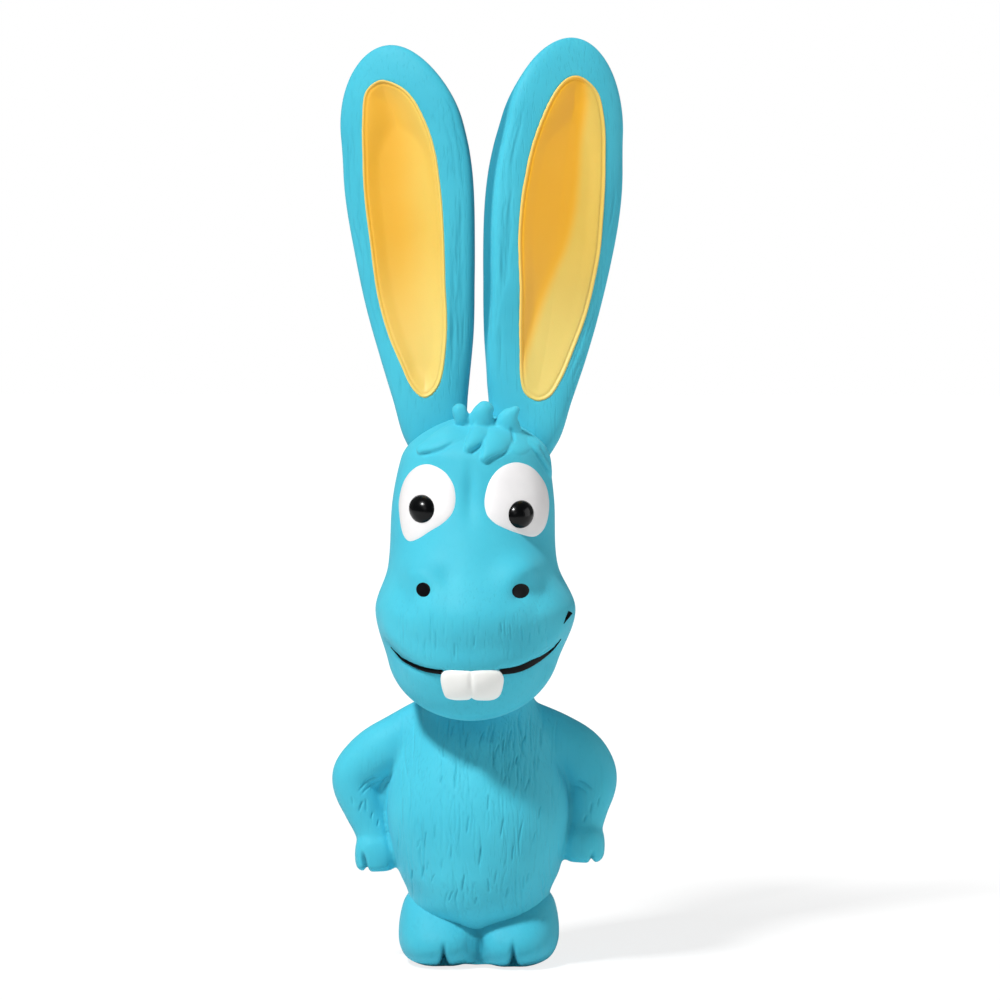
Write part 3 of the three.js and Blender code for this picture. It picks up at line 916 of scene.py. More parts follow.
class Paint(Nodes):
    """One material and its nodes."""

    def __init__(self, name: str) -> None:
        """Makes a plain material with one shader.

        Args:
            name: The material's name.
        """
        self.material = bpy.data.materials.new(name)
        self.material.use_nodes = True
        super().__init__(self.material.node_tree)
        self.shader = self.tree.nodes["Principled BSDF"]
        self.place = self.node("ShaderNodeTexCoord", {}, {}).outputs["Object"]

    def set(self, **sockets: object) -> None:
        """Sets the shader's sockets, with spaces written as underscores."""
        for name, value in sockets.items():
            self.feed(self.shader.inputs[name.replace("_", " ")], value)

    def stretched(self, scale: Triple) -> bpy.types.NodeSocket:
        """Returns the place on the piece, scaled along each axis."""
        settings = {"operation": "MULTIPLY"}
        return self.node("ShaderNodeVectorMath", settings, {0: self.place, 1: scale}).outputs[0]

    def noise(self, scale: float, detail: float = 2.0, place: object = None) -> Value:
        """Adds soft noise.

        Args:
            scale: About how many features it has to the metre.
            detail: How many finer layers it has.
            place: Where it is looked up, or None for the place on the piece.

        Returns:
            The noise, from 0 to 1.
        """
        at = self.place if place is None else place
        inputs = {"Vector": at, "Scale": scale, "Detail": detail}
        return Value(self, self.node("ShaderNodeTexNoise", {}, inputs).outputs["Fac"])

    def note(self, name: str) -> Value:
        """Returns a number kept on the mesh's points."""
        node = self.node("ShaderNodeAttribute", {"attribute_name": name}, {})
        return Value(self, node.outputs["Fac"])

    def mix(self, share: object, first: object, second: object) -> bpy.types.NodeSocket:
        """Mixes two colours by a share."""
        node = self.node("ShaderNodeMix", {"data_type": "RGBA"}, {0: share, 6: first, 7: second})
        return node.outputs[2]

    def bump(self, height: Value, strength: float, distance: float) -> bpy.types.NodeSocket:
        """Returns the surface direction for a fine relief of that depth in metres."""
        inputs = {"Height": height, "Strength": strength, "Distance": distance}
        return self.node("ShaderNodeBump", {}, inputs).outputs["Normal"]


# Finishes


@dataclass(frozen=True)
class LatexFinish:
    """Matte coloured latex with painted shade: a little darker in its creases and grooves, with a fine skin
    and faint fur lines that are also painted darker as shade.
    """

    name: str
    light: str
    deep: str
    painted_shade: str
    roughness: float = 0.56
    uneven: float = 0.14
    specular: float = 0.14
    sheen: float = 0.05
    in_crease_shade: float = 0.75
    in_line_shade: float = 0.16
    hair_scale: Triple = (1500.0, 1500.0, 60.0)
    scatter: Triple = (0.25, 0.6, 0.8)

    def material(self) -> bpy.types.Material:
        """Mixes the latex.

        Returns:
            The material.
        """
        paint = Paint(self.name)
        cloud = paint.noise(45.0, 3.0)
        colour = paint.mix(cloud.between(0.3, 0.75), srgb(self.light), srgb(self.deep))
        # Painted shade: darker by the mesh's shade note, which darkens creases, grooves, a painted shadow
        # strip and whole parts set in shade.
        cut = paint.note("painted_shade").between(0.08, 0.9)
        colour = paint.mix(cut * self.in_crease_shade, colour, srgb(self.painted_shade))
        # Painted shade along the fine fur lines; the same lines are bumped below.
        hair = paint.noise(1.0, 1.0, paint.stretched(self.hair_scale))
        lines = hair.between(0.56, 0.82) * paint.note("fur").clamped()
        colour = paint.mix(lines * self.in_line_shade, colour, srgb(self.painted_shade))
        grain = paint.noise(2600.0, 2.0)
        mottle = paint.noise(300.0, 3.0)
        relief = grain * 0.08 + mottle * 0.1 - lines * 0.6
        paint.set(Base_Color=colour, Roughness=mottle.about(self.roughness, self.uneven))
        paint.set(Normal=paint.bump(relief, 0.5, 0.0003))
        paint.set(Specular_IOR_Level=self.specular, Sheen_Weight=self.sheen, Sheen_Roughness=0.5)
        paint.set(Subsurface_Weight=0.1, Subsurface_Scale=0.003, Subsurface_Radius=self.scatter)
        return paint.material


@dataclass(frozen=True)
class LiningFinish:
    """Sprayed yellow paint, pale along its edge, with painted shade in deeper orange beside the fold and a
    faint painted glow there that stands in for light coming through the latex.
    """

    name: str
    light: str
    deep: str
    low: str
    # fold is the colour of the painted shade and painted glow beside the fold, and of the specks.
    fold: str
    edge: str
    # through is the strength of the painted glow beside the fold.
    through: float = 0.13
    roughness: float = 0.48
    uneven: float = 0.16
    in_low: float = 0.75
    in_fold_shade: float = 0.85
    in_edge: float = 0.6
    in_specks: float = 0.12

    def material(self) -> bpy.types.Material:
        """Mixes the paint.

        Returns:
            The material.
        """
        paint = Paint(self.name)
        cloud = paint.noise(38.0, 3.0)
        colour = paint.mix(cloud.between(0.3, 0.7), srgb(self.light), srgb(self.deep))
        colour = paint.mix(paint.note("pale").clamped() * self.in_low, colour, srgb(self.low))
        # Painted shade: deeper orange on the side of the fold that faces away from the light.
        colour = paint.mix(paint.note("shade").clamped() * self.in_fold_shade, colour, srgb(self.fold))
        colour = paint.mix(paint.note("rim").clamped() * self.in_edge, colour, srgb(self.edge))
        speck = paint.noise(420.0, 2.0)
        colour = paint.mix(speck.between(0.74, 0.8) * self.in_specks, colour, srgb(self.fold))
        grain = paint.noise(2200.0, 2.0)
        paint.set(Base_Color=colour, Roughness=speck.about(self.roughness, self.uneven))
        paint.set(Normal=paint.bump(grain * 0.4 + speck * 0.6, 0.3, 0.0001))
        paint.set(Specular_IOR_Level=0.4, Subsurface_Weight=0.08, Subsurface_Scale=0.003)
        # Painted glow: a faint orange glow on the same shaded place, standing in for light coming through
        # the latex.
        through = paint.mix(paint.note("glow").clamped(), BLACK, srgb(self.fold))
        paint.set(Emission_Color=through, Emission_Strength=self.through)
        return paint.material


@dataclass(frozen=True)
class EnamelFinish:
    """Brushed-on paint: one colour with a slight unevenness, dull or glossy."""

    name: str
    colour: str
    worn: str
    roughness: float
    coat: float = 0.0
    specular: float = 0.4
    uneven: float = 0.1

    def material(self) -> bpy.types.Material:
        """Mixes the paint.

        Returns:
            The material.
        """
        paint = Paint(self.name)
        cloud = paint.noise(160.0, 3.0)
        colour = paint.mix(cloud.between(0.35, 0.8) * 0.7, srgb(self.colour), srgb(self.worn))
        brushed = paint.noise(1.0, 2.0, paint.stretched((700.0, 700.0, 240.0)))
        paint.set(Base_Color=colour, Roughness=brushed.about(self.roughness, self.uneven))
        paint.set(Normal=paint.bump(brushed, 0.18, 0.00008))
        paint.set(Coat_Weight=self.coat, Coat_Roughness=0.06, Specular_IOR_Level=self.specular)
        return paint.material


@dataclass(frozen=True)
class FibreFinish:
    """Carded white filling fibre."""

    name: str
    light: str
    shade: str
    roughness: float = 0.9
    uneven: float = 0.1

    def material(self) -> bpy.types.Material:
        """Mixes the fibre.

        Returns:
            The material.
        """
        paint = Paint(self.name)
        lump = paint.noise(180.0, 4.0)
        thread = paint.noise(1.0, 3.0, paint.stretched((2400.0, 900.0, 1500.0)))
        colour = paint.mix((lump * 0.6 + thread * 0.5).clamped(), srgb(self.shade), srgb(self.light))
        paint.set(Base_Color=colour, Roughness=thread.about(self.roughness, self.uneven))
        paint.set(Normal=paint.bump(lump + thread * 0.7, 0.8, 0.0008), Specular_IOR_Level=0.1)
        return paint.material


@dataclass(frozen=True)
class PlasticFinish:
    """Moulded plastic with a faint satin grain."""

    name: str
    colour: str
    worn: str
    roughness: float
    uneven: float = 0.12

    def material(self) -> bpy.types.Material:
        """Mixes the plastic.

        Returns:
            The material.
        """
        paint = Paint(self.name)
        cloud = paint.noise(220.0, 3.0)
        colour = paint.mix(cloud.between(0.3, 0.8), srgb(self.colour), srgb(self.worn))
        grain = paint.noise(3200.0, 1.0)
        paint.set(Base_Color=colour, Roughness=cloud.about(self.roughness, self.uneven))
        paint.set(Normal=paint.bump(grain, 0.2, 0.00006))
        return paint.material


class Finishes:
    """All materials of the toy, made once."""

    def __init__(self) -> None:
        """Mixes every finish."""
        self.blue = LatexFinish("latex_blue", "50cae0", "47bfd7", "157a92").material()
        yellow = LiningFinish(
            "latex_yellow", light="f1cb60", deep="ecc155", low="f4da7e", fold="f7ae18", edge="fddd7c"
        )
        self.yellow = yellow.material()
        self.white = EnamelFinish("paint_white", "f8f6f6", "f0eeef", 0.42, 0.15).material()
        self.tooth = EnamelFinish("tooth_white", "fdfdf9", "f4f5f0", 0.4, 0.2).material()
        self.black = EnamelFinish("paint_black", "050608", "0a0b0e", 0.4, 0.0, 0.12).material()
        self.gloss = EnamelFinish("gloss_black", "030405", "060708", 0.22, 0.0, 0.25).material()
        self.fibre = FibreFinish("fibre", "f3f1ea", "d5d2c8").material()
        self.plastic = PlasticFinish("squeaker_plastic", "f2f2ee", "e4e4df", 0.38).material()
        self.film = PlasticFinish("reed_film", "c9cdd0", "aeb4b8", 0.3).material()


# The body


@dataclass
class BodySkin:
    """The torso with both arms, moulded as one skin whose belly presses in."""

    finishes: Finishes
    torso: SkinProfile = SkinProfile(
        (
            Level(0.0, 30.0, 11.0, 16.0),
            Level(8.0, 34.0, 13.0, 17.5),
            Level(13.0, 39.0, 18.6, 19.0),
            Level(17.0, 41.5, 22.6, 20.0),
            Level(21.0, 43.0, 24.8, 21.0),
            Level(28.0, 49.0, 26.8, 22.8),
            Level(46.0, 55.8, 27.6, 24.5),
            Level(66.0, 46.0, 21.0, 21.5),
            Level(75.0, 37.0, 16.6, 17.4),
            Level(82.0, 31.0, 15.0, 15.0),
            Level(96.0, 30.0, 15.0, 15.0),
        )
    )
    left_arm: Line = (
        (6.0, 75.0), (14.4, 70.6), (23.2, 66.2), (30.6, 61.2), (34.0, 54.8),
        (33.0, 46.6), (31.4, 39.0), (31.6, 36.0),
    )
    right_arm: Line = (
        (6.0, 76.5), (14.8, 71.6), (23.8, 66.0), (32.0, 60.6), (36.8, 54.4),
        (34.6, 45.4), (31.4, 37.6), (31.0, 32.8),
    )
    arm_y: Row = (1.0, 1.0, 1.0, 1.0, 1.0, 0.0, -1.0, -1.6)
    arm_radius: Row = (6.0, 7.4, 8.0, 8.4, 8.1, 7.0, 5.7, 5.8)
    web_across: Row = (5.0, 5.6, 5.4, 5.2, 4.6)
    web_through: Row = (5.0, 5.0, 4.6, 4.4, 4.0)
    hand_drop: float = 6.0
    hand: SkinProfile = SkinProfile(
        (
            Level(0.0, 9.4, 4.8, 4.8),
            Level(1.6, 12.0, 6.0, 5.8),
            Level(7.0, 12.4, 6.4, 6.0),
            Level(14.0, 9.0, 4.5, 4.5),
        ),
        above=6.0,
        squareness=2.7,
        flat=0.16,
    )
    socket_radius: float = 10.8
    socket_depth: float = 14.5
    socket_y: float = 2.5
    socket_flat: float = 1.6
    voxel: float = 0.58
    press_from: float = -12.0
    press_to: float = -27.0
    filling: Stuffing = Stuffing(inset=4.2, low=21.0, high=74.0)
    hair_seed: int = 7
    hairs_clear: Hairs = Hairs(
        (
            (-1.6, 47.5, 41.0), (4.3, 53.4, 47.5), (2.0, 38.6, 30.9), (-6.6, 38.6, 32.7),
            (-14.6, 42.2, 35.6), (-3.1, 29.7, 23.2), (4.3, 28.5, 23.2), (6.4, 30.3, 25.6),
            (9.7, 25.6, 21.4), (11.4, 38.6, 32.1), (13.2, 41.6, 33.3), (14.4, 29.1, 23.2),
            (0.5, 22.6, 19.6), (-19.1, 29.7, 25.6), (-15.5, 31.5, 26.2), (-6.9, 24.4, 20.2),
            (-6.9, 73.0, 68.9), (-2.5, 71.2, 65.3), (2.0, 71.2, 67.7), (4.9, 71.8, 67.1),
            (8.2, 69.5, 63.5), (14.4, 69.5, 67.1), (12.3, 64.1, 60.6),
            (-33.6, 49.3, 44.5), (-37.8, 49.9, 46.9), (-35.1, 48.7, 44.5), (-31.8, 45.2, 42.6),
            (-30.0, 42.7, 40.2), (34.0, 49.0, 44.4), (36.2, 50.2, 46.8), (32.2, 45.0, 42.0),
        ),
        lean=(0.4, 0.3),
        width=(0.2, 0.27),
        depth=(0.3, 0.46),
    )
    fur_belly: Fur = Fur(150, (-25.0, 25.0), (16.0, 74.0), (7.0, 19.0), (0.04, 0.19), (0.2, 0.32), 0.035)
    fur_chest: Fur = Fur(60, (-12.0, 19.0), (57.0, 73.0), (6.0, 14.0), (0.08, 0.24), (0.19, 0.26), 0.05)
    hairs_faint: Hairs = Hairs(
        (
            (8.5, 46.9, 39.2), (17.7, 42.2, 37.4), (19.2, 49.3, 44.5), (-11.7, 44.5, 38.6),
            (-16.7, 39.2, 35.6), (-14.0, 32.7, 29.1), (-12.3, 29.1, 25.6), (-5.2, 25.5, 20.2),
            (15.6, 29.7, 25.5), (8.8, 58.8, 54.0), (12.0, 55.8, 50.5), (15.6, 57.6, 52.8),
            (-5.8, 57.6, 54.0), (-9.9, 58.2, 55.2), (3.7, 73.0, 66.5), (-2.2, 64.7, 61.1),
            (13.9, 45.7, 38.0), (6.4, 68.0, 62.0), (10.2, 72.0, 66.4), (-9.4, 34.5, 30.0),
        ),
        lean=(0.3, 0.3),
        width=(0.2, 0.26),
        depth=(0.22, 0.34),
    )
    soften: int = 4
    shoulder_rounds: int = 40
    shoulder_low: Pair = (58.0, 64.0)
    shoulder_high: Pair = (76.0, 72.0)
    shoulder_side: Pair = (8.0, 14.0)
    pocket_rounds: int = 16
    pocket_in: Pair = (22.0, 24.5)
    pocket_out: Pair = (32.0, 29.5)
    pocket_low: Pair = (24.0, 28.0)
    pocket_high: Pair = (54.0, 48.0)
    front_half: float = 24.0
    front_up: Pair = (14.0, 76.0)
    crook_from: float = 21.0
    crook_up: Pair = (28.0, 58.0)
    crook_deep: float = 1.0
    belly_side: Pair = (27.0, 20.0)
    belly_low: Pair = (14.0, 20.0)
    crease_shade: float = 0.5
    hair_shade: float = 0.8
    fur_least: float = 0.5

    def arm(self, side: Side) -> Clay:
        """Models one arm with its hand and the web that joins it to the belly.

        Args:
            side: The arm's side.

        Returns:
            The arm.
        """
        clay = Clay.sphere(f"arm_{side.name.lower()}", 96, 140)
        line = self.left_arm if side is Side.LEFT else self.right_arm
        path = tuple((side.value * x, y, z) for (x, z), y in zip(line, self.arm_y))
        Strand(path, self.arm_radius, self.arm_radius, cap=0.1).shape(clay)
        web = Clay.sphere("web", 48, 60)
        low = line[-1][1]
        inner = (
            (22.0, 2.0, 60.0), (26.2, 1.4, 53.0), (27.0, 1.2, 45.0),
            (26.8, 1.0, low + 4.0), (26.4, 0.6, low),
        )
        path = tuple((side.value * x, y, z) for x, y, z in inner)
        Strand(path, self.web_across, self.web_through).shape(web)
        hand = Clay.sphere("hand", 64, 60)
        self.hand.shape(hand)
        hand.move(hand.points() + np.array([side.value * line[-1][0], self.arm_y[-1], low - self.hand_drop]))
        clay.join(web, hand)
        return clay

    def creases(self) -> list[Stroke]:
        """Lists the folds at the elbows, hands and armpits.

        Returns:
            The strokes.
        """
        return [
            Stroke(((-36.2, 50.6), (-34.0, 53.6), (-31.6, 55.2), (-29.2, 55.8)), 0.3, 0.42),
            Stroke(((-35.4, 49.6), (-33.0, 52.4), (-30.4, 53.8), (-27.6, 54.2)), 0.28, 0.36),
            Stroke(((-30.6, 51.0), (-29.4, 53.0), (-27.8, 54.8), (-25.9, 56.2)), 0.3, 0.45),
            Stroke(((-28.9, 51.2), (-27.9, 53.2), (-26.4, 54.6)), 0.3, 0.4),
            Stroke(((-26.0, 54.0), (-27.6, 50.0), (-28.0, 45.0), (-27.2, 38.0), (-25.4, 31.0)), 0.8, 0.5),
            Stroke(((26.0, 55.0), (27.4, 50.0), (27.8, 45.0), (27.0, 38.0), (25.4, 33.0)), 0.8, 0.45),
            Stroke(((34.6, 51.8), (32.2, 54.0), (28.6, 55.2)), 0.36, 0.45),
            Stroke(((33.2, 50.6), (30.8, 52.6), (28.0, 53.2)), 0.34, 0.35),
            Stroke(((-34.9, 34.0), (-34.4, 31.0), (-33.4, 26.4)), 0.75, 1.5, (0.5, 0.0), both=True),
            Stroke(((34.8, 35.0), (34.3, 31.5), (33.4, 26.4)), 0.7, 1.3, (0.5, 0.0), both=True),
        ]

    def hairs(self) -> list[Stroke]:
        """Draws the fur of belly, chest and forearms.

        Returns:
            The strokes.
        """
        rng = np.random.default_rng(self.hair_seed)
        strokes = []
        for fur in (self.hairs_clear, self.fur_belly, self.fur_chest, self.hairs_faint):
            strokes += fur.strokes(rng)
        return strokes

    def socket(self) -> Clay:
        """Models what is taken out of the base for the squeaker.

        Returns:
            The volume.
        """
        clay = Clay.sphere("socket", 64, 24)
        ball = clay.points()
        reach = np.hypot(ball[:, 0], ball[:, 1])
        share = np.minimum(1.0, self.socket_flat * reach) / np.maximum(reach, TINY)
        x = ball[:, 0] * share * self.socket_radius
        y = ball[:, 1] * share * self.socket_radius + self.socket_y
        clay.move(np.stack([x, y, ball[:, 2] * self.socket_depth], axis=1))
        return clay

    def moulded(self) -> Clay:
        """Models torso and arms as one skin, softened at the shoulders and beside the belly.

        Returns:
            The skin.
        """
        skin = Clay.sphere("body_skin", 220, 220)
        self.torso.shape(skin)
        skin.join(self.arm(Side.LEFT), self.arm(Side.RIGHT))
        skin.remesh(self.voxel)
        skin.cut(self.socket())
        skin.remesh(self.voxel)
        skin.relax(self.soften)
        side, up = skin.side_up()
        shoulder = ease(*self.shoulder_low, up) * ease(*self.shoulder_high, up)
        skin.relax(self.shoulder_rounds, shoulder * ease(*self.shoulder_side, side))
        side, up = skin.side_up()
        pocket = ease(*self.pocket_in, side) * ease(*self.pocket_out, side) * ease(*self.pocket_low, up)
        skin.relax(self.pocket_rounds, pocket * ease(*self.pocket_high, up))
        return skin

    def build(self) -> Clay:
        """Adds creases and fur to the skin.

        Returns:
            The skin.
        """
        skin = self.moulded()
        side, up = skin.side_up()
        ahead, deep = skin.normals()[:, 1] < AHEAD, skin.points()[:, 1]
        front = (side < self.front_half) & within(self.front_up, up) & ahead
        crook = (side > self.crook_from) & within(self.crook_up, up) & (deep < self.crook_deep)
        skin.refine(front | crook)
        skin.relax(1)
        # Painted shade: creases and fur strokes are darkened by how deep they were cut.
        cut = self.crease_shade * carve(skin, self.creases())
        cut += self.hair_shade * carve(skin, self.hairs())
        skin.note("painted_shade", cut)
        side, up = skin.side_up()
        belly = ease(*self.belly_side, side) * ease(*self.belly_low, up)
        skin.note("fur", np.maximum(belly, self.fur_least))
        skin.thin(MOST_TRIANGLES)
        return skin

    def dress(self) -> bpy.types.Object:
        """Builds the skin, and gives it its finish.

        Returns:
            The piece.
        """
        nodes = ("torso_shell", "belly_panel", "left_arm", "right_arm")
        obj = self.build().place(self.finishes.blue, Slot.LATEX_BLUE, *nodes)
        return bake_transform(obj)

    def stuffing(self) -> bpy.types.Object:
        """Builds the fibre filling.

        Returns:
            The piece.
        """
        clay = self.filling.build("body_stuffing", self.torso)
        obj = clay.place(self.finishes.fibre, Slot.FIBRE, "body_fill")
        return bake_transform(obj)


@dataclass
class FeetSkin:
    """The two short legs with their toes, moulded together."""

    finishes: Finishes
    foot: SkinProfile = SkinProfile(
        (
            Level(0.0, 17.0, 16.0, 13.0),
            Level(1.6, 22.5, 20.0, 16.0),
            Level(5.0, 26.2, 23.2, 18.0),
            Level(9.0, 27.0, 22.8, 18.5),
            Level(14.0, 26.0, 18.5, 18.5),
            Level(19.0, 23.4, 13.5, 17.5),
            Level(25.0, 20.0, 10.0, 16.0),
        ),
        above=8.0,
        squareness=2.4,
        flat=0.2,
    )
    bridge: Triple = (9.0, 18.0, 10.6)
    centre: float = 10.6
    voxel: float = 0.5
    socket_radius: float = 10.8
    socket_depth: float = 9.0
    socket_y: float = 2.5
    bridge_at: Triple = (0.3, -2.2, 5.6)
    bridge_low: float = 0.6
    hair_seed: int = 19
    fur: Fur = Fur(24, (-21.0, 21.0), (3.0, 17.0), (1.5, 4.5), (0.04, 0.12), (0.35, 0.5), 0.1)
    tone: float = 0.26
    soften: int = 5
    bridge_rounds: int = 30
    bridge_side: Pair = (8.0, 3.0)
    bridge_front: Pair = (-8.0, -14.0)
    cleft_shade: float = 0.5
    hair_shade: float = 0.5
    fur_tone: float = 0.6

    def clefts(self) -> list[Stroke]:
        """Lists the clefts between the toes and between the feet.

        Returns:
            The strokes.
        """
        return [
            Stroke(((-9.2, 9.4), (-9.2, 6.0), (-9.5, -2.0)), 0.6, 2.0, (0.45, 0.0)),
            Stroke(((-9.4, 6.4), (-9.5, -2.0)), 1.3, 1.6, (0.8, 0.0)),
            Stroke(((11.3, 9.8), (11.4, 6.4), (11.3, -2.0)), 0.6, 2.0, (0.45, 0.0)),
            Stroke(((11.3, 6.6), (11.3, -2.0)), 1.3, 1.6, (0.8, 0.0)),
            Stroke(((0.4, 13.0), (0.4, 6.0), (0.4, -2.0)), 2.2, 1.2, (0.4, 0.0)),
            Stroke(((1.2, 13.0), (1.3, 6.0), (1.4, -2.0)), 0.7, 0.7, (0.4, 0.0)),
        ]

    def build(self) -> Clay:
        """Models both feet as one skin.

        Returns:
            The skin.
        """
        feet = []
        for side in Side:
            clay = Clay.sphere(f"foot_{side.name.lower()}", 128, 120)
            self.foot.shape(clay)
            clay.move(clay.points() + np.array([side.value * self.centre, 0.0, 0.0]))
            feet.append(clay)
        skin, other = feet
        skin.obj.name = "feet_skin"
        middle = Clay.sphere("feet_bridge", 64, 48)
        points = middle.points() * np.array(self.bridge) + np.array(self.bridge_at)
        points[:, 2] = np.maximum(points[:, 2], self.bridge_low)
        middle.move(points)
        skin.join(other, middle)
        skin.remesh(self.voxel)
        size = {"radius": self.socket_radius, "depth": 2.0 * self.socket_depth}
        bpy.ops.mesh.primitive_cylinder_add(vertices=96, location=(0.0, self.socket_y, 0.0), **size)
        skin.cut(Clay(bpy.context.object))
        skin.remesh(self.voxel)
        skin.relax(self.soften)
        side, deep = skin.side_up()[0], skin.points()[:, 1]
        skin.relax(self.bridge_rounds, ease(*self.bridge_side, side) * ease(*self.bridge_front, deep))
        cut = carve(skin, self.clefts())
        skin.relax(1)
        hairs = self.fur.strokes(np.random.default_rng(self.hair_seed))
        # Painted shade: the feet are darker all over by their overall shade, and darker still in the clefts
        # and fur strokes.
        cut = self.tone + self.cleft_shade * cut + self.hair_shade * carve(skin, hairs)
        skin.note("painted_shade", cut)
        skin.note("fur", np.full(skin.count, self.fur_tone))
        return skin

    def dress(self) -> bpy.types.Object:
        """Builds the feet and gives them their finish and body."""
        obj = self.build().place(self.finishes.blue, Slot.LATEX_BLUE, "left_foot", "right_foot")
        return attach(obj, Body.TORSO.value)


# The head


@dataclass(frozen=True)
class Spot:
    """A painted or raised spot on the skin: its outline seen from the front, and its relief."""

    outline: Line
    dome: float
    edge: float
    sink: float = 0.5
    roundness: float = 4.0
    valley: float = 0.0
    valley_width: float = 0.75
    back_roundness: float = 6.0
    set_in: float = 0.12
    near_y: float = -20.0

    def shape(self, clay: Clay, skin: BVHTree) -> None:
        """Moves the points of a unit ball onto the spot.

        Args:
            clay: The ball.
            skin: The surface that the spot lies on.
        """
        ball = clay.points()
        centre, turn, edge = edge_of(self.outline, 720)
        angle = np.arctan2(ball[:, 1], ball[:, 0])
        share = np.hypot(ball[:, 0], ball[:, 1])
        reach = np.interp(angle, turn, edge, period=math.tau) * share
        x, z = centre[0] + reach * np.cos(angle), centre[1] + reach * np.sin(angle)
        flat = np.sqrt(1.0 - share**self.back_roundness)
        height = self.dome * (1.0 - share**2) + self.edge * np.sqrt(1.0 - share**self.roundness)
        height -= self.valley * np.exp(-((x / self.valley_width) ** 2)) * flat
        height = np.where(ball[:, 2] < -TINY, -self.sink * flat, height) - self.set_in
        points = np.empty((len(ball), 3))
        for i in range(len(ball)):
            hit, normal = front_hit(skin, x[i], z[i])
            if hit is None:
                hit, normal, _, _ = skin.find_nearest(Vector((x[i], self.near_y, z[i])))
            points[i] = hit + normal * height[i]
        clay.move(points)


def oval(at: Pair, size: Pair) -> Line:
    """Returns an oval outline of that full size about a place."""
    turns = [math.tau * i / 16 for i in range(16)]
    return tuple((at[0] + size[0] / 2 * math.cos(t), at[1] + size[1] / 2 * math.sin(t)) for t in turns)


def raised(path: Line, right: float, up: float) -> Line:
    """Returns a line or outline moved to the side and up."""
    return tuple((x + right, z + up) for x, z in path)


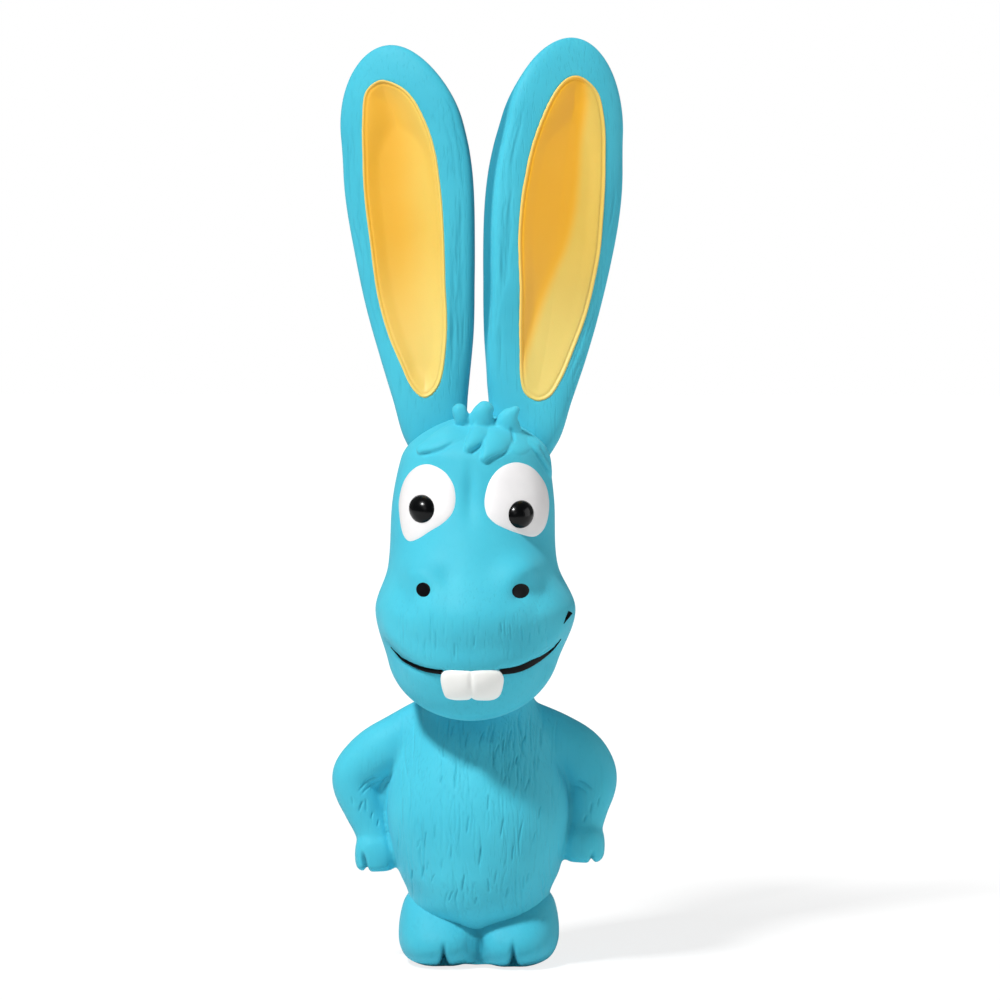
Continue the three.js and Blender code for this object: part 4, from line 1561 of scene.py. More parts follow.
@dataclass
class HeadSkin:
    """The head: muzzle, brow, fringe and tufts in one moulded skin, and the painted face on it."""

    finishes: Finishes
    form: SkinProfile = SkinProfile(
        (
            Level(1.8, 45.0, 14.5, 11.5, -27.0),
            Level(17.0, 49.6, 25.0, 31.0, -16.0),
            Level(33.5, 59.6, 33.0, 33.5, -11.0),
            Level(46.5, 50.6, 29.5, 31.0, -7.0),
            Level(66.0, 48.4, 26.0, 26.0, -1.0),
            Level(81.0, 43.0, 22.0, 21.5, 0.0),
            Level(91.0, 36.0, 18.0, 18.0, 0.0),
        ),
        base=73.0,
        below=16.5,
        above=13.0,
    )
    voxel: float = 0.55
    lean_at: Row = (74.0, 90.0, 106.0, 122.0, 140.0, 154.0, 164.0)
    lean: Row = (-0.9, -1.0, -0.4, -1.5, -1.6, -1.0, 0.0)
    eye_shift: float = -0.8
    muzzle_lift: float = 2.4
    locks: tuple[Lock, ...] = (
        Lock(((-3.0, 161.2), (-7.2, 159.0), (-11.6, 156.6), (-16.4, 153.9)), (3.0, 3.0, 2.4, 1.2), 1.4),
        Lock(((3.0, 162.0), (1.2, 159.4), (-0.6, 156.8), (-2.1, 154.7)), (3.2, 3.2, 2.5, 1.2), 1.6),
        Lock(((8.0, 162.0), (7.2, 158.8), (5.6, 155.8), (3.0, 152.1)), (3.6, 4.2, 3.7, 1.4), 1.65),
        Lock(((12.0, 161.6), (12.8, 159.0), (13.2, 156.2)), (4.0, 4.2, 3.4), 0.45),
        Lock(
            ((13.0, 160.8), (16.6, 157.8), (19.4, 153.8), (21.4, 149.2), (22.4, 146.4)),
            (3.0, 3.0, 2.5, 2.0, 1.2),
            1.3,
        ),
    )
    partings: tuple[Stroke, ...] = (
        Stroke(((-17.0, 152.6), (-12.4, 153.6), (-8.4, 155.4), (-4.8, 158.2)), 0.45, 0.5, (0.15, 0.5)),
        Stroke(((-1.4, 153.2), (1.0, 154.9), (2.8, 157.0)), 0.45, 0.6, (0.15, 0.5)),
        Stroke(((2.6, 150.4), (5.2, 151.9), (8.4, 153.3), (11.0, 154.8)), 0.45, 0.6, (0.15, 0.4)),
        Stroke(((9.7, 161.0), (10.8, 158.8), (11.4, 156.2)), 0.4, 0.5, (0.3, 0.2)),
        Stroke(((15.6, 156.4), (17.8, 152.8), (19.8, 149.4), (21.4, 146.4)), 0.45, 0.7, (0.3, 0.15)),
        Stroke(((18.4, 156.0), (20.4, 152.6), (22.0, 149.0)), 0.4, 0.5, (0.3, 0.3)),
    )
    tufts: tuple[Strand, ...] = (
        Strand(
            ((-3.4, -8.6, 159.0), (-4.0, -10.2, 162.0), (-4.8, -10.8, 164.4), (-5.2, -10.8, 165.6)),
            (3.0, 1.9, 2.3, 2.3),
            (2.8, 2.0, 2.3, 2.3),
        ),
        Strand(
            ((1.2, -8.6, 158.5), (1.2, -10.2, 162.2), (1.7, -10.8, 164.8), (2.5, -10.8, 166.2)),
            (4.6, 4.2, 3.6, 2.7),
            (3.4, 3.2, 2.9, 2.4),
        ),
        Strand(
            ((9.0, -7.6, 158.0), (9.0, -9.2, 161.4), (9.8, -10.0, 164.0), (11.4, -10.2, 165.8)),
            (4.4, 4.0, 3.2, 1.4),
            (3.4, 3.2, 2.6, 1.4),
        ),
    )
    mounds: tuple[Mound, ...] = (
        Mound((-14.8, 117.2), (5.6, 5.4), 3.1),
        Mound((13.4, 118.4), (5.6, 5.0), 3.8),
        Mound((-7.2, 118.6), (2.6, 5.2), -0.6),
        Mound((-18.6, 111.0), (3.4, 4.4), -1.1),
        Mound((19.0, 111.4), (3.4, 4.4), -0.9),
        Mound((-14.2, 113.4), (3.0, 2.7), -1.3),
        Mound((14.2, 113.2), (2.9, 2.5), -1.9),
        Mound((-1.2, 143.0), (1.7, 6.5), -1.1),
        Mound((-0.8, 136.4), (2.8, 4.0), -0.4),
        Mound((-13.4, 153.4), (7.0, 2.2), 0.5),
        Mound((13.4, 153.8), (7.0, 2.2), 0.5),
    )
    hair_marks: tuple[Triple, ...] = (
        (-11.7, 106.4, 95.0), (-13.6, 98.2, 92.5), (1.2, 99.7, 95.0), (10.0, 104.5, 97.5),
        (11.6, 102.6, 96.3), (14.8, 102.0, 96.0), (19.5, 102.0, 98.2), (-10.2, 101.4, 93.4),
        (-4.6, 97.0, 91.6), (9.0, 103.0, 99.0), (16.8, 100.4, 95.4),
    )
    hair_lean: float = 0.15
    hair_width: float = 0.24
    hair_depth: float = 0.24
    hair_seed: int = 11
    fur_muzzle: Fur = Fur(80, (-23.0, 23.0), (94.0, 107.0), (4.0, 12.0), (0.02, 0.07), (0.24, 0.36), 0.01)
    fur_chin: Fur = Fur(30, (-16.0, 16.0), (78.0, 88.0), (3.0, 6.0), (0.02, 0.05), (0.24, 0.34), 0.03)
    filling: Stuffing = Stuffing(inset=4.5, low=99.0, high=152.0)
    lip_line: float = 87.9
    lip_rise: float = 8.4
    lip_half: float = 26.0
    lip_roll: float = 0.7
    jaw_back: float = 1.5
    line_steps: int = 9
    line_sink: float = 0.1
    right_eye: Line = (
        (-13.0, 150.1), (-17.1, 149.0), (-20.6, 145.2), (-22.3, 139.2), (-21.8, 133.5),
        (-20.5, 129.2), (-18.6, 127.5), (-15.8, 128.3), (-11.7, 130.9), (-8.6, 132.8),
        (-6.1, 135.1), (-4.9, 137.5), (-4.6, 140.8), (-5.5, 144.6), (-8.3, 148.2),
    )
    left_eye: Line = (
        (12.9, 150.7), (8.5, 149.3), (5.3, 145.5), (3.9, 139.8), (4.6, 135.8),
        (6.7, 133.4), (9.7, 131.7), (14.1, 129.9), (18.4, 128.8), (20.9, 130.6),
        (22.1, 134.3), (22.2, 139.4), (20.9, 144.4), (17.4, 149.0),
    )
    teeth_outline: Line = (
        (0.0, 88.6), (-3.5, 88.7), (-6.8, 88.6), (-8.6, 87.6), (-9.0, 85.6), (-8.5, 82.4),
        (-7.6, 80.3), (-5.4, 79.6), (-2.2, 79.6), (-0.6, 79.8), (0.0, 80.2), (0.6, 79.8),
        (2.6, 79.5), (6.2, 79.6), (8.2, 80.9), (9.3, 84.4), (9.3, 86.6), (8.0, 88.4), (4.0, 88.8),
    )
    right_mouth: Line = (
        (-8.6, 87.9), (-12.0, 88.0), (-15.8, 88.7), (-20.9, 90.6), (-24.6, 93.8),
    )
    left_mouth: Line = (
        (8.4, 88.2), (11.4, 88.3), (14.6, 89.0), (18.9, 91.0), (22.7, 93.4), (25.4, 96.4),
    )
    right_lip: Row = (0.9, 0.75, 0.6, 0.3)
    left_lip: Row = (1.15, 1.3, 1.05, 0.4)
    right_corner: tuple[Triple, ...] = ((-29.6, -7.6, 104.2), (-29.8, -5.6, 105.8), (-29.8, -3.6, 107.4))
    left_corner: Line = ((26.4, 103.6), (27.0, 105.2), (27.7, 106.8))
    corner_across: Row = (0.3, 1.0, 1.4)
    corner_proud: float = 0.15
    right_pupil: tuple[Pair, Pair] = ((-14.7, 137.2), (7.9, 8.2))
    left_pupil: tuple[Pair, Pair] = ((14.6, 135.6), (7.2, 8.2))
    right_nostril: tuple[Pair, Pair] = ((-14.2, 114.2), (4.5, 4.3))
    left_nostril: tuple[Pair, Pair] = ((14.2, 113.8), (5.0, 4.4))
    jaw_facing: Pair = (0.0, 0.45)
    jaw_side: Pair = (29.0, 24.0)
    jaw_top: Pair = (0.6, -1.4)
    jaw_bottom: Pair = (-17.0, -7.0)
    roll_at: float = 3.2
    roll_width: float = 3.0
    soften: int = 3
    groove_width: float = 0.8
    groove_depth: float = 1.0
    groove_fade: Pair = (0.0, 0.35)
    front_half: float = 28.0
    front_up: Pair = (76.0, 127.0)
    brow_half: float = 25.0
    brow_up: Pair = (144.0, 163.5)
    brow_facing: float = 0.1
    fringe_rounds: int = 4
    fringe_low: Pair = (144.0, 148.0)
    fringe_high: Pair = (163.0, 161.0)
    muzzle_top: Pair = (122.0, 112.0)
    muzzle_side: Pair = (26.0, 20.0)
    fringe_shade: float = 0.5
    hair_shade: float = 0.9
    fur_least: float = 0.25
    fur_more: float = 0.6

    def lifted(self, path: Line) -> Line:
        """Returns a line of the mouth at the muzzle's height."""
        return raised(path, 0.0, self.muzzle_lift)

    def jaw(self, clay: Clay) -> None:
        """Sets the jaw back under the upper lip and rolls the lip's edge.

        Args:
            clay: The head.
        """
        side, up = clay.side_up()
        bow = (np.minimum(side, self.lip_half) / self.lip_half) ** 3
        under = up - (self.lip_line + self.muzzle_lift + self.lip_rise * bow)
        front = ease(*self.jaw_facing, -clay.normals()[:, 1]) * ease(*self.jaw_side, side)
        recess = ease(*self.jaw_top, under) * ease(*self.jaw_bottom, under)
        lip = np.exp(-(((under - self.roll_at) / self.roll_width) ** 2))
        clay.push((self.lip_roll * lip - self.jaw_back * recess) * front)

    def fringe(self, clay: Clay) -> Array:
        """Lays the locks of hair over the brow and cuts the shade lines under them.

        Args:
            clay: The head.

        Returns:
            How deep each point is cut by the lines.
        """
        points, normals = clay.points(), clay.normals()
        clay.push(np.max([lock.amount(points, normals) for lock in self.locks], axis=0))
        cut = carve(clay, list(self.partings))
        up = points[:, 2]
        clay.relax(self.fringe_rounds, ease(*self.fringe_low, up) * ease(*self.fringe_high, up))
        return cut

    def standing_tufts(self) -> list[Clay]:
        """Models the three tufts that stand on the crown.

        Returns:
            The tufts.
        """
        made = []
        for tuft in self.tufts:
            made.append(Clay.sphere("tuft", 40, 48))
            tuft.shape(made[-1])
        return made

    def hairs(self) -> list[Stroke]:
        """Draws the fur of muzzle and chin.

        Returns:
            The strokes.
        """
        rng = np.random.default_rng(self.hair_seed)
        strokes = []
        for mark in self.hair_marks:
            path = self.lifted(hair_path(mark, rng.normal(0.0, self.hair_lean)))
            strokes.append(Stroke(path, self.hair_width, self.hair_depth))
        return strokes + self.fur_muzzle.strokes(rng) + self.fur_chin.strokes(rng)

    def build(self) -> tuple[Clay, BVHTree, BVHTree]:
        """Models the head.

        Returns:
            The head, its surface before the finest lines, and its plain form.
        """
        skin = Clay.sphere("head_skin", 300, 260)
        self.form.shape(skin)
        points = skin.points()
        points[:, 0] += spline(np.array(self.lean_at), np.array(self.lean), points[:, 2])
        skin.move(points)
        plain = skin.surface()
        self.jaw(skin)
        points, normals = skin.points(), skin.normals()
        skin.push(sum(mound.amount(points, normals) for mound in self.mounds))
        skin.join(*self.standing_tufts())
        skin.remesh(self.voxel)
        skin.relax(self.soften)
        groove = (self.groove_width, self.groove_depth, self.groove_fade)
        mouths = (self.right_mouth, self.left_mouth)
        carve(skin, [Stroke(self.lifted(path), *groove) for path in mouths])
        skin.relax(1)
        face = skin.surface()
        side, up = skin.side_up()
        deep = skin.normals()[:, 1]
        front = (side < self.front_half) & within(self.front_up, up) & (deep < AHEAD)
        brow = (side < self.brow_half) & within(self.brow_up, up) & (deep < self.brow_facing)
        skin.refine(front | brow)
        skin.relax(1)
        # Painted shade: the lines under the locks and the fur strokes are darkened by how deep they were
        # cut.
        cut = self.fringe_shade * self.fringe(skin)
        cut += self.hair_shade * carve(skin, self.hairs())
        skin.note("painted_shade", cut)
        side, up = skin.side_up()
        muzzle = ease(*self.muzzle_top, up) * ease(*self.muzzle_side, side)
        skin.note("fur", self.fur_least + self.fur_more * muzzle)
        skin.thin(MOST_TRIANGLES)
        return skin, face, plain

    def spot(self, name: str, spot: Spot, skin: BVHTree, fine: int = 1) -> Clay:
        """Models one spot of the face.

        Args:
            name: The piece's name.
            spot: Its outline and relief.
            skin: The surface that it lies on.
            fine: How many times finer than usual its mesh is.

        Returns:
            The spot as a closed piece.
        """
        clay = Clay.sphere(name, 64 * fine, 40 * fine)
        spot.shape(clay, skin)
        clay.close()
        return clay

    def line(
        self,
        name: str,
        path: Line | tuple[Triple, ...],
        across: Row,
        skin: BVHTree,
        proud: float = 0.5,
    ) -> Clay:
        """Returns a painted line on the skin.

        Args:
            name: The piece's name.
            path: Its points, seen from the front as (x, z), or as places near the skin.
            across: Its half width from start to end.
            skin: The surface that it lies on.
            proud: Its half thickness as a share of its half width.

        Returns:
            The line as a closed piece.
        """
        line = []
        for place in smooth_path(np.array(path), self.line_steps):
            if len(place) == 3:
                hit, normal, _, _ = skin.find_nearest(Vector(place))
            else:
                hit, normal = front_hit(skin, *place)
            line.append(tuple(hit - normal * self.line_sink))
        steps, knots = (np.linspace(0.0, 1.0, count) for count in (self.line_steps, len(across)))
        wide = np.interp(steps, knots, across)
        clay = Clay.sphere(name, 32, 96)
        Strand(tuple(line), tuple(wide), tuple(proud * wide), cap=0.06).shape(clay)
        return clay

    def face(self, skin: BVHTree, plain: BVHTree) -> list[bpy.types.Object]:
        """Builds eyes, nostrils, mouth and teeth, and dresses them.

        Args:
            skin: The head's surface.
            plain: The head's form without lips and swellings.

        Returns:
            The pieces.
        """
        made = []
        coats = self.finishes
        eyes = (("right", self.right_eye, self.right_pupil), ("left", self.left_eye, self.left_pupil))
        for side, outline, pupil in eyes:
            shape, dot = (raised(path, self.eye_shift, 0.0) for path in (outline, oval(*pupil)))
            white = self.spot(f"{side}_eye_white", Spot(shape, 1.3, 0.7, 0.8), skin, 2)
            black = self.spot(f"{side}_pupil_bead", Spot(dot, 1.9, 0.5, 0.5), white.surface())
            made.append(white.place(coats.white, Slot.PAINT_WHITE, f"{side}_eye"))
            made.append(black.place(coats.gloss, Slot.PAINT_BLACK, f"{side}_pupil"))
        for side, nostril in (("right", self.right_nostril), ("left", self.left_nostril)):
            hole = self.spot(f"{side}_nostril_paint", Spot(oval(*nostril), 0.0, 0.35, 0.8), skin)
            made.append(hole.place(coats.black, Slot.PAINT_BLACK, f"{side}_nostril"))
        mouths = (("right", self.right_mouth, self.right_lip, self.right_corner),
                  ("left", self.left_mouth, self.left_lip, self.left_corner))
        for side, path, across, corner in mouths:
            lips = self.line(f"{side}_mouth_paint", self.lifted(path), across, skin)
            end = self.line(f"{side}_mouth_corner", corner, self.corner_across, skin, self.corner_proud)
            lips.join(end)
            made.append(lips.place(coats.black, Slot.PAINT_BLACK, f"{side}_mouth_line"))
        tooth = Spot(self.lifted(self.teeth_outline), 0.6, 0.9, 2.4, 7.0, 0.45)
        teeth = self.spot("front_teeth", tooth, plain, 2)
        made.append(teeth.place(coats.tooth, Slot.TOOTH_WHITE, "left_tooth", "right_tooth"))
        return [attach(obj, Body.HEAD.value) for obj in made]

    def dress(self) -> list[bpy.types.Object]:
        """Builds the head and its face, and gives them their finish and body.

        Returns:
            The pieces.
        """
        skin, surface, plain = self.build()
        made = self.face(surface, plain)
        nodes = ("head_shell", "tuft_left", "tuft_middle", "tuft_right", "lock_outer_left",
                 "lock_inner_left", "lock_inner_right", "lock_outer_right")
        obj = skin.place(self.finishes.blue, Slot.LATEX_BLUE, *nodes)
        return [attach(obj, Body.HEAD.value), *made]

    def stuffing(self) -> bpy.types.Object:
        """Builds the head's fibre filling.

        Returns:
            The piece.
        """
        clay = self.filling.build("head_stuffing", self.form)
        obj = clay.place(self.finishes.fibre, Slot.FIBRE, "head_fill")
        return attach(obj, Body.HEAD.value)


# The ears


@dataclass(frozen=True)
class EarShape:
    """What sets one ear apart from the other: its turn, size, the yellow dish across and along it, and how
    much painted shade and painted glow it carries.
    """

    turn: float
    widen: float
    length: float
    curl: float
    inner_step: float
    dish_depth: float
    bowl: float
    shade_blend: float
    fade: float
    glow: float
    orange_shade: float
    tone: float
    seed: int
    fold: Line
    outline: Line


RIGHT_EAR_SHAPE = EarShape(
    turn=0.26,
    widen=0.0,
    length=118.8,
    curl=2.8,
    inner_step=0.0,
    dish_depth=3.8,
    bowl=2.0,
    shade_blend=7.0,
    fade=1.0,
    glow=0.0,
    orange_shade=0.8,
    tone=0.22,
    seed=37,
    fold=((-0.8, 108.6), (1.0, 101.0), (1.4, 92.7), (0.1, 76.8), (0.5, 64.8), (-0.4, 44.9), (-1.7, 20.9)),
    outline=(
        (-1.6, 109.9), (-5.2, 109.1), (-8.2, 106.3), (-10.3, 99.1), (-11.9, 90.3), (-12.9, 76.8),
        (-12.6, 60.8), (-12.0, 44.9), (-10.1, 31.3), (-7.2, 20.9), (-5.0, 14.1), (-2.0, 10.5),
        (1.2, 11.2), (4.4, 15.3), (7.1, 24.1), (9.2, 34.5), (10.2, 44.9), (11.5, 64.8),
        (11.5, 80.0), (10.5, 89.5), (9.2, 95.9), (7.1, 102.3), (4.0, 106.7),
    ),
)
LEFT_EAR_SHAPE = EarShape(
    turn=0.45,
    widen=0.12,
    length=120.8,
    curl=1.8,
    inner_step=2.2,
    dish_depth=2.9,
    bowl=1.25,
    shade_blend=1.8,
    fade=0.3,
    glow=1.0,
    orange_shade=1.0,
    tone=0.0,
    seed=31,
    fold=(
        (2.2, 108.4), (3.9, 102.3), (4.5, 88.8), (4.8, 72.8), (4.3, 64.8),
        (3.1, 56.8), (0.8, 48.9), (-1.4, 40.9), (-3.3, 28.9), (-4.2, 20.9),
    ),
    outline=(
        (0.7, 109.1), (4.6, 107.9), (8.4, 104.7), (10.8, 99.1), (12.4, 92.7), (13.2, 84.8),
        (13.6, 76.8), (13.8, 66.4), (13.9, 56.8), (13.1, 46.5), (11.9, 36.9), (9.6, 25.7),
        (7.6, 16.9), (5.4, 11.3), (2.2, 9.4), (-1.4, 11.0), (-3.4, 15.3), (-5.0, 23.3),
        (-7.0, 32.9), (-9.0, 44.9), (-10.6, 56.8), (-11.2, 66.4), (-11.2, 72.8), (-10.6, 83.2),
        (-9.4, 91.1), (-7.5, 99.1), (-5.2, 104.7), (-2.5, 107.9),
    ),
)


@dataclass
class Ear:
    """A long ear with a dished yellow front, which bends at its root."""

    finishes: Finishes
    side: Side
    own: EarShape
    form: SkinProfile = SkinProfile(
        (
            Level(-10.0, 10.0, 5.0, 5.4),
            Level(-4.0, 15.8, 5.8, 6.0),
            Level(1.0, 19.3, 6.2, 6.6),
            Level(11.0, 22.7, 5.8, 6.6),
            Level(36.0, 32.6, 5.4, 6.6),
            Level(56.0, 37.6, 5.4, 6.6),
            Level(77.0, 40.6, 5.4, 6.6),
            Level(95.0, 38.6, 5.0, 6.0),
            Level(121.0, 34.0, 4.4, 5.0),
        ),
        above=27.0,
        squareness=2.5,
        flat=0.05,
    )
    dish_wall: float = 5.0
    dish_top: float = 9.0
    skin_under: float = 0.45
    paint_proud: float = 0.14
    paint_back: float = 0.3
    paint_edge: float = 0.1
    lip: float = 0.16
    lip_at: float = 0.45
    groove: float = 0.22
    groove_at: float = 1.15
    lip_width: float = 0.3
    fold_soft: float = 1.2
    corner: float = 4.5
    painted_shadow: float = 1.8
    flare: float = 0.4
    paint_round: Pair = (12.0, 48.0)
    stroke_count: int = 34
    lean_back: float = -0.12
    lean_out: float = 0.105
    root_in: float = 0.4
    pivot: Triple = (14.2, 5.0, 158.5)
    turn_over: float = 45.0
    bend_from: float = 3.0
    bend_to: float = 27.0
    dish_top_up: Pair = (85.0, 104.0)
    dish_full_up: Pair = (10.0, 60.0)
    widen_up: Pair = (112.0, 55.0)
    curl_up: Pair = (84.0, 123.0)
    root_up: Pair = (46.0, 26.0)
    step_low: Pair = (12.0, 40.0)
    step_high: Pair = (116.0, 84.0)
    flare_up: Pair = (9.0, -5.0)
    stroke_inner: float = 0.7
    stroke_middle: Pair = (22.0, 92.0)
    stroke_run: Pair = (10.0, 30.0)
    stroke_in: Pair = (1.4, 6.0)
    stroke_wave: float = 0.22
    stroke_width: Pair = (0.35, 0.5)
    stroke_depth: Pair = (0.08, 0.2)
    stroke_points: int = 5
    stroke_shade: float = 0.8
    fur_tone: float = 0.9

    @property
    def name(self) -> str:
        """The side in words."""
        return self.side.name.lower()

    def rim(self) -> tuple[Array, Array, Array]:
        """Returns the dish's middle, and the angle and reach of its edge all round."""
        return edge_of(self.own.outline, 2880)

    def front_y(self, x: Array, s: Array) -> Array:
        """Finds the ear's front face.

        Args:
            x: The places across the ear.
            s: The places along the ear.

        Returns:
            The face's places through the ear.
        """
        half, front, _, _ = self.form.section(s)
        power = self.form.squareness
        left = held(1.0 - (np.abs(x) / np.maximum(half, TINY)) ** power)
        return -front * left ** (1.0 / power)

    def hollow(self, x: Array, s: Array) -> tuple[Array, Array, Array]:
        """Measures the dish.

        Args:
            x: The place across the ear.
            s: The place along the ear.

        Returns:
            How deep the dish is there, how far inside its edge the place is, and how far it lies to
            the right of the fold.
        """
        centre, turn, edge = self.rim()
        dx, ds = x - centre[0], s - centre[1]
        reach = np.interp(np.arctan2(ds, dx), turn, edge, period=math.tau)
        flat = np.stack([x, s], axis=1)
        outline = smooth_path(np.array(self.own.outline), 240, closed=True)
        inside, _ = to_path(flat, np.vstack([outline, outline[:1]]))
        inside = np.where(np.hypot(dx, ds) < reach, inside, -inside)
        fold = smooth_path(np.array(self.own.fold), 40)
        gap, _ = to_path(flat, fold)
        depth_in = np.maximum(inside, 0.0)
        soft = np.sqrt(gap**2 + self.fold_soft) - math.sqrt(self.fold_soft)
        slope = (soft / (soft + depth_in + TINY)) ** self.own.bowl
        over = self.dish_wall + self.dish_top * ease(*self.dish_top_up, s)
        wall = 1.0 - (1.0 - held(depth_in / over)) ** 2
        right = x - np.interp(s, fold[::-1, 1], fold[::-1, 0])
        full = self.own.dish_depth * (0.5 + 0.5 * ease(*self.dish_full_up, s))
        return full * (1.0 - slope) * wall, inside, right

    def stand(self, points: Array) -> Array:
        """Turns points along the ear and leans it, from its own place to the neck axis.

        Args:
            points: The points across, through and along the ear, one to a row.

        Returns:
            The points where the ear stands.
        """
        own, sign, along = self.own, self.side.value, points[:, 2]
        wide = points[:, 0] * (1.0 + own.widen * ease(*self.widen_up, along))
        wide += sign * own.curl * ease(*self.curl_up, along)
        wide -= sign * self.root_in * ease(*self.root_up, along)
        angle = sign * own.turn * ease(0.0, self.turn_over, along)
        x = wide * np.cos(angle) - points[:, 1] * np.sin(angle)
        y = wide * np.sin(angle) + points[:, 1] * np.cos(angle)
        turned = np.stack([x, y, along * own.length / self.form.high], axis=1)
        lean = Matrix.Rotation(self.lean_back, 3, "X") @ Matrix.Rotation(sign * self.lean_out, 3, "Y")
        at = np.array(self.pivot) * np.array([sign, 1.0, 1.0])
        return turned @ np.array(lean).T + at

    def grooves(self) -> list[Stroke]:
        """Draws the wavy strokes along the ear's rim, most of them on its inner side.

        Returns:
            The strokes.
        """
        rng = np.random.default_rng(self.own.seed)
        strokes = []
        for _ in range(self.stroke_count):
            sign = -self.side.value if rng.uniform() < self.stroke_inner else self.side.value
            middle, run = rng.uniform(*self.stroke_middle), rng.uniform(*self.stroke_run)
            along = middle + run * np.linspace(0.5, -0.5, self.stroke_points)
            half, _, _, _ = self.form.section(along)
            across = sign * (half - rng.uniform(*self.stroke_in))
            across += rng.normal(0.0, self.stroke_wave, self.stroke_points)
            path = tuple((float(x), float(s)) for x, s in zip(across, along))
            strokes.append(Stroke(path, rng.uniform(*self.stroke_width), rng.uniform(*self.stroke_depth)))
        return strokes

    def stepped(self, inner: Array, y: Array, s: Array) -> tuple[Array, Array]:
        """Sets back the front of the ear's inner side, so that its back shows as a second edge, and paints a
        shadow strip on the step between them.

        Args:
            inner: The place across the ear, towards its inner side.
            y: The place through the ear.
            s: The place along the ear.

        Returns:
            The new place across the ear, and how dark the painted shadow strip on the step is there.
        """
        half, _, back, _ = self.form.section(s)
        open_to = ease(*self.step_low, s) * ease(*self.step_high, s)
        corner = held(1.0 - held(y / np.maximum(back, TINY)) ** self.corner) ** (1.0 / self.corner)
        square = np.maximum(half - 1.0, 0.0) * corner
        inner = np.where((y > 0.0) & (inner > 0.0), inner + (square - inner) * open_to, inner)
        edge = held(inner / np.maximum(half, TINY)) ** 6
        # Painted shadow: a dark strip on the step's face, where the other ear's shadow falls.
        painted_shadow = self.painted_shadow * edge * open_to * ease(0.4, 1.6, y) * ease(6.0, 4.0, y)
        return inner - self.own.inner_step * edge * ease(2.6, 0.6, y) * open_to, painted_shadow

    def skin(self) -> Clay:
        """Models the blue ear with its dish.

        Returns:
            The ear.
        """
        clay = Clay.sphere(f"{self.name}_ear_skin", 220, 240)
        self.form.shape(clay)
        x, y, s = clay.points().T
        depth, inside, _ = self.hollow(x, s)
        under = depth + self.skin_under * ease(0.0, 0.6, inside)
        inner = -self.side.value * x
        painted_shadow = np.zeros_like(s)
        if self.own.inner_step:
            inner, painted_shadow = self.stepped(inner, y, s)
        y = np.where((y < 0.0) & (inside > 0.0), y + under, y)
        flare = self.flare * ease(*self.flare_up, s) ** 2
        y = np.where(y > 0.0, y * (1.0 + flare), y)
        clay.move(np.stack([-self.side.value * inner, y, s], axis=1))
        # Painted shade: the whole ear by its overall shade, its grooves by their depth, and the painted
        # shadow strip.
        cut = np.maximum(self.stroke_shade * carve(clay, self.grooves()), painted_shadow)
        clay.note("painted_shade", self.own.tone + cut)
        clay.note("fur", np.full(clay.count, self.fur_tone))
        clay.move(self.stand(clay.points()))
        clay.close()
        return clay

    def lining(self) -> Clay:
        """Models the yellow paint of the dish as a thin closed shell with a raised lip.

        Returns:
            The shell.
        """
        clay = Clay.sphere(f"{self.name}_ear_paint", 240, 120)
        ball = clay.points()
        centre, turn, edge = self.rim()
        share = np.hypot(ball[:, 0], ball[:, 1])
        angle = np.arctan2(self.paint_round[1] * ball[:, 1], self.paint_round[0] * ball[:, 0])
        reach = np.interp(angle, turn, edge, period=math.tau) * share
        x, s = centre[0] + reach * np.cos(angle), centre[1] + reach * np.sin(angle)
        depth, inside, right = self.hollow(x, s)
        inside = np.maximum(inside, 0.0)
        lip = self.lip * np.exp(-(((inside - self.lip_at) / self.lip_width) ** 2))
        groove = self.groove * np.exp(-(((inside - self.groove_at) / self.lip_width) ** 2))
        proud = self.paint_proud + lip - groove + self.paint_edge
        front = self.paint_edge - proud * ease(0.0, 0.25, inside)
        lift = np.where(ball[:, 2] < -TINY, self.paint_back, front)
        clay.move(np.stack([x, self.front_y(x, s) + depth + lift, s], axis=1))
        clay.note("rim", ease(0.85, 0.5, inside))
        # Painted shade: the paint turns deeper orange on the side of the fold that faces away from the
        # light, less so lower down; glow puts a faint painted glow on the same place.
        low = 1.0 - 0.6 * self.own.fade * ease(70.0, 25.0, s)
        shade = self.own.orange_shade * low * ease(self.own.shade_blend, -self.own.shade_blend, right - 1.2)
        clay.note("shade", shade)
        clay.note("glow", shade * self.own.glow)
        clay.note("pale", ease(66.0, 22.0, s))
        clay.move(self.stand(clay.points()))
        clay.close()
        return clay

    def dress(self) -> list[bpy.types.Object]:
        """Builds ear and lining, and gives them their finish.

        Returns:
            The pieces.
        """
        blue = self.skin().place(self.finishes.blue, Slot.LATEX_BLUE, f"{self.name}_ear")
        yellow = self.lining().place(self.finishes.yellow, Slot.LATEX_YELLOW, f"{self.name}_ear_lining")
        ends = self.stand(np.array([[0.0, 0.0, self.bend_from], [0.0, 0.0, self.bend_to]]))
        return [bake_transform(obj) for obj in (blue, yellow)]


# The squeaker


@dataclass
class Squeaker:
    """The squeaker in the base: its model nodes stay, with moulded finishes."""

    finishes: Finishes

    def dress(self) -> None:
        """Gives each node its finish."""
        for name in ("squeaker_housing", "squeaker_lid", "reed_tube", "reed_clamp", "reed"):
            node = frame["nodes"][name]
            node.data.materials.clear()
            node.data.materials.append(self.finishes.film if name == "reed" else self.finishes.plastic)


# The studio


def aimed(name: str, data: bpy.types.ID, at: Vector, look: Vector) -> bpy.types.Object:
    """Adds a lamp or camera to the scene.

    Args:
        name: Its name.
        data: The lamp or camera.
        at: Its place in metres.
        look: The direction in which it looks.

    Returns:
        The object.
    """
    obj = bpy.data.objects.new(name, data)
    bpy.context.scene.collection.objects.link(obj)
    obj.location = at
    obj.rotation_mode = "QUATERNION"
    obj.rotation_quaternion = look.to_track_quat("-Z", "Y")
    return obj


@dataclass(frozen=True)
class Lamp:
    """A square lamp: its place, its side and its power in watts."""

    name: str
    at: Triple
    size: float
    power: float


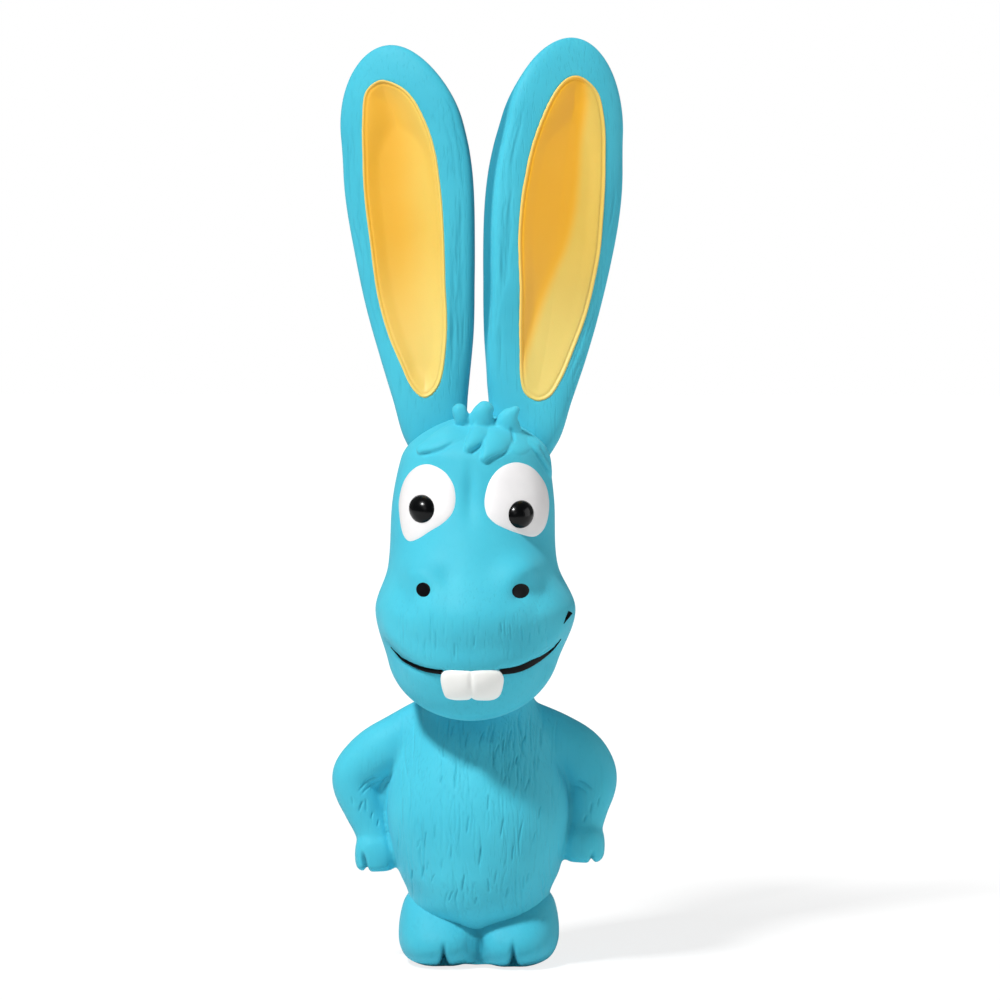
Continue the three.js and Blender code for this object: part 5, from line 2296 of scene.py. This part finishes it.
@dataclass
class Studio:
    """A white floor and background, soft lamps, and the photograph's camera."""

    azimuth: float = 3.0
    elevation: float = 3.0
    distance: float = 1.3
    field: float = 0.300
    sensor: float = 36.0
    clip: Pair = (0.05, 20.0)
    aim_right: float = 0.0063
    aim_up: float = 0.1385
    lamps: tuple[Lamp, ...] = (
        Lamp("key", (-1.15, -1.32, 2.6), 0.36, 90.0),
        Lamp("fill", (1.3, 0.0, 0.5), 1.0, 4.5),
        Lamp("front", (-0.3, -1.4, 0.95), 0.6, 0.9),
    )
    lit: Triple = (0.0, 0.0, 0.12)
    ambient: float = 0.11
    floor_size: float = 12.0
    floor_z: float = -0.0002
    floor_colour: Colour = (0.9, 0.9, 0.9, 1.0)
    floor_glow: float = 1.08
    shadow_fades: Pair = (0.12, 0.55)
    shadow: float = 0.25

    def camera(self) -> None:
        """Sets up the camera."""
        a, e = math.radians(self.azimuth), math.radians(self.elevation)
        back = Vector((math.sin(a) * math.cos(e), -math.cos(a) * math.cos(e), math.sin(e)))
        right = Vector((math.cos(a), math.sin(a), 0.0))
        target = Vector((0.0, AXIS_Y * MM, self.aim_up)) + right * self.aim_right
        data = bpy.data.cameras.new("camera")
        data.sensor_width = self.sensor
        data.lens = self.sensor * self.distance / self.field
        data.clip_start, data.clip_end = self.clip
        bpy.context.scene.camera = aimed("camera", data, target + back * self.distance, -back)

    def light(self, lamp: Lamp) -> None:
        """Adds one lamp, which points at the toy's middle.

        Args:
            lamp: The lamp.
        """
        data = bpy.data.lights.new(lamp.name, "AREA")
        data.size = lamp.size
        data.energy = lamp.power
        aimed(lamp.name, data, Vector(lamp.at), Vector(self.lit) - Vector(lamp.at))

    def world(self) -> None:
        """Makes a world that looks white and lights the toy softly."""
        world = bpy.data.worlds.new("studio")
        bpy.context.scene.world = world
        world.use_nodes = True
        nodes = Nodes(world.node_tree)
        nodes.tree.nodes.clear()
        level = nodes.seen() * (1.0 - self.ambient) + self.ambient
        glow = nodes.node("ShaderNodeBackground", {}, {"Color": WHITE, "Strength": level})
        nodes.node("ShaderNodeOutputWorld", {}, {"Surface": glow.outputs[0]})

    def floor(self) -> None:
        """Adds the floor, white to the camera but for the toy's shadow."""
        bpy.ops.mesh.primitive_plane_add(size=self.floor_size, location=(0.0, 0.0, self.floor_z))
        obj = bpy.context.object
        obj.name = "floor"
        paint = Paint("floor_white")
        paint.set(Base_Color=self.floor_colour, Roughness=0.9, Specular_IOR_Level=0.0)
        glow = paint.node("ShaderNodeEmission", {}, {"Color": WHITE, "Strength": self.floor_glow})
        away = paint.node("ShaderNodeVectorMath", {"operation": "LENGTH"}, {0: paint.place})
        far = Value(paint, away.outputs["Value"]).between(*self.shadow_fades)
        share = paint.seen() * (far * self.shadow + (1.0 - self.shadow))
        inputs = {0: share, 1: paint.shader.outputs[0], 2: glow.outputs[0]}
        mixed = paint.node("ShaderNodeMixShader", {}, inputs)
        paint.feed(paint.tree.nodes["Material Output"].inputs["Surface"], mixed.outputs[0])
        obj.data.materials.append(paint.material)

    def build(self) -> None:
        """Sets up floor, lamps, world and camera."""
        bpy.context.scene.view_settings.view_transform = "Standard"
        self.floor()
        self.world()
        for lamp in self.lamps:
            self.light(lamp)
        self.camera()


def main() -> None:
    """Builds every piece of the toy and the studio round it."""
    logging.basicConfig(level=logging.INFO, format="%(name)s: %(message)s")
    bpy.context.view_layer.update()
    finishes = Finishes()
    body = BodySkin(finishes)
    body.dress()
    body.stuffing()
    FeetSkin(finishes).dress()
    head = HeadSkin(finishes)
    head.dress()
    head.stuffing()
    Ear(finishes, Side.RIGHT, RIGHT_EAR_SHAPE).dress()
    Ear(finishes, Side.LEFT, LEFT_EAR_SHAPE).dress()
    Squeaker(finishes).dress()
    Studio().build()


if __name__ == "__main__":
    main()
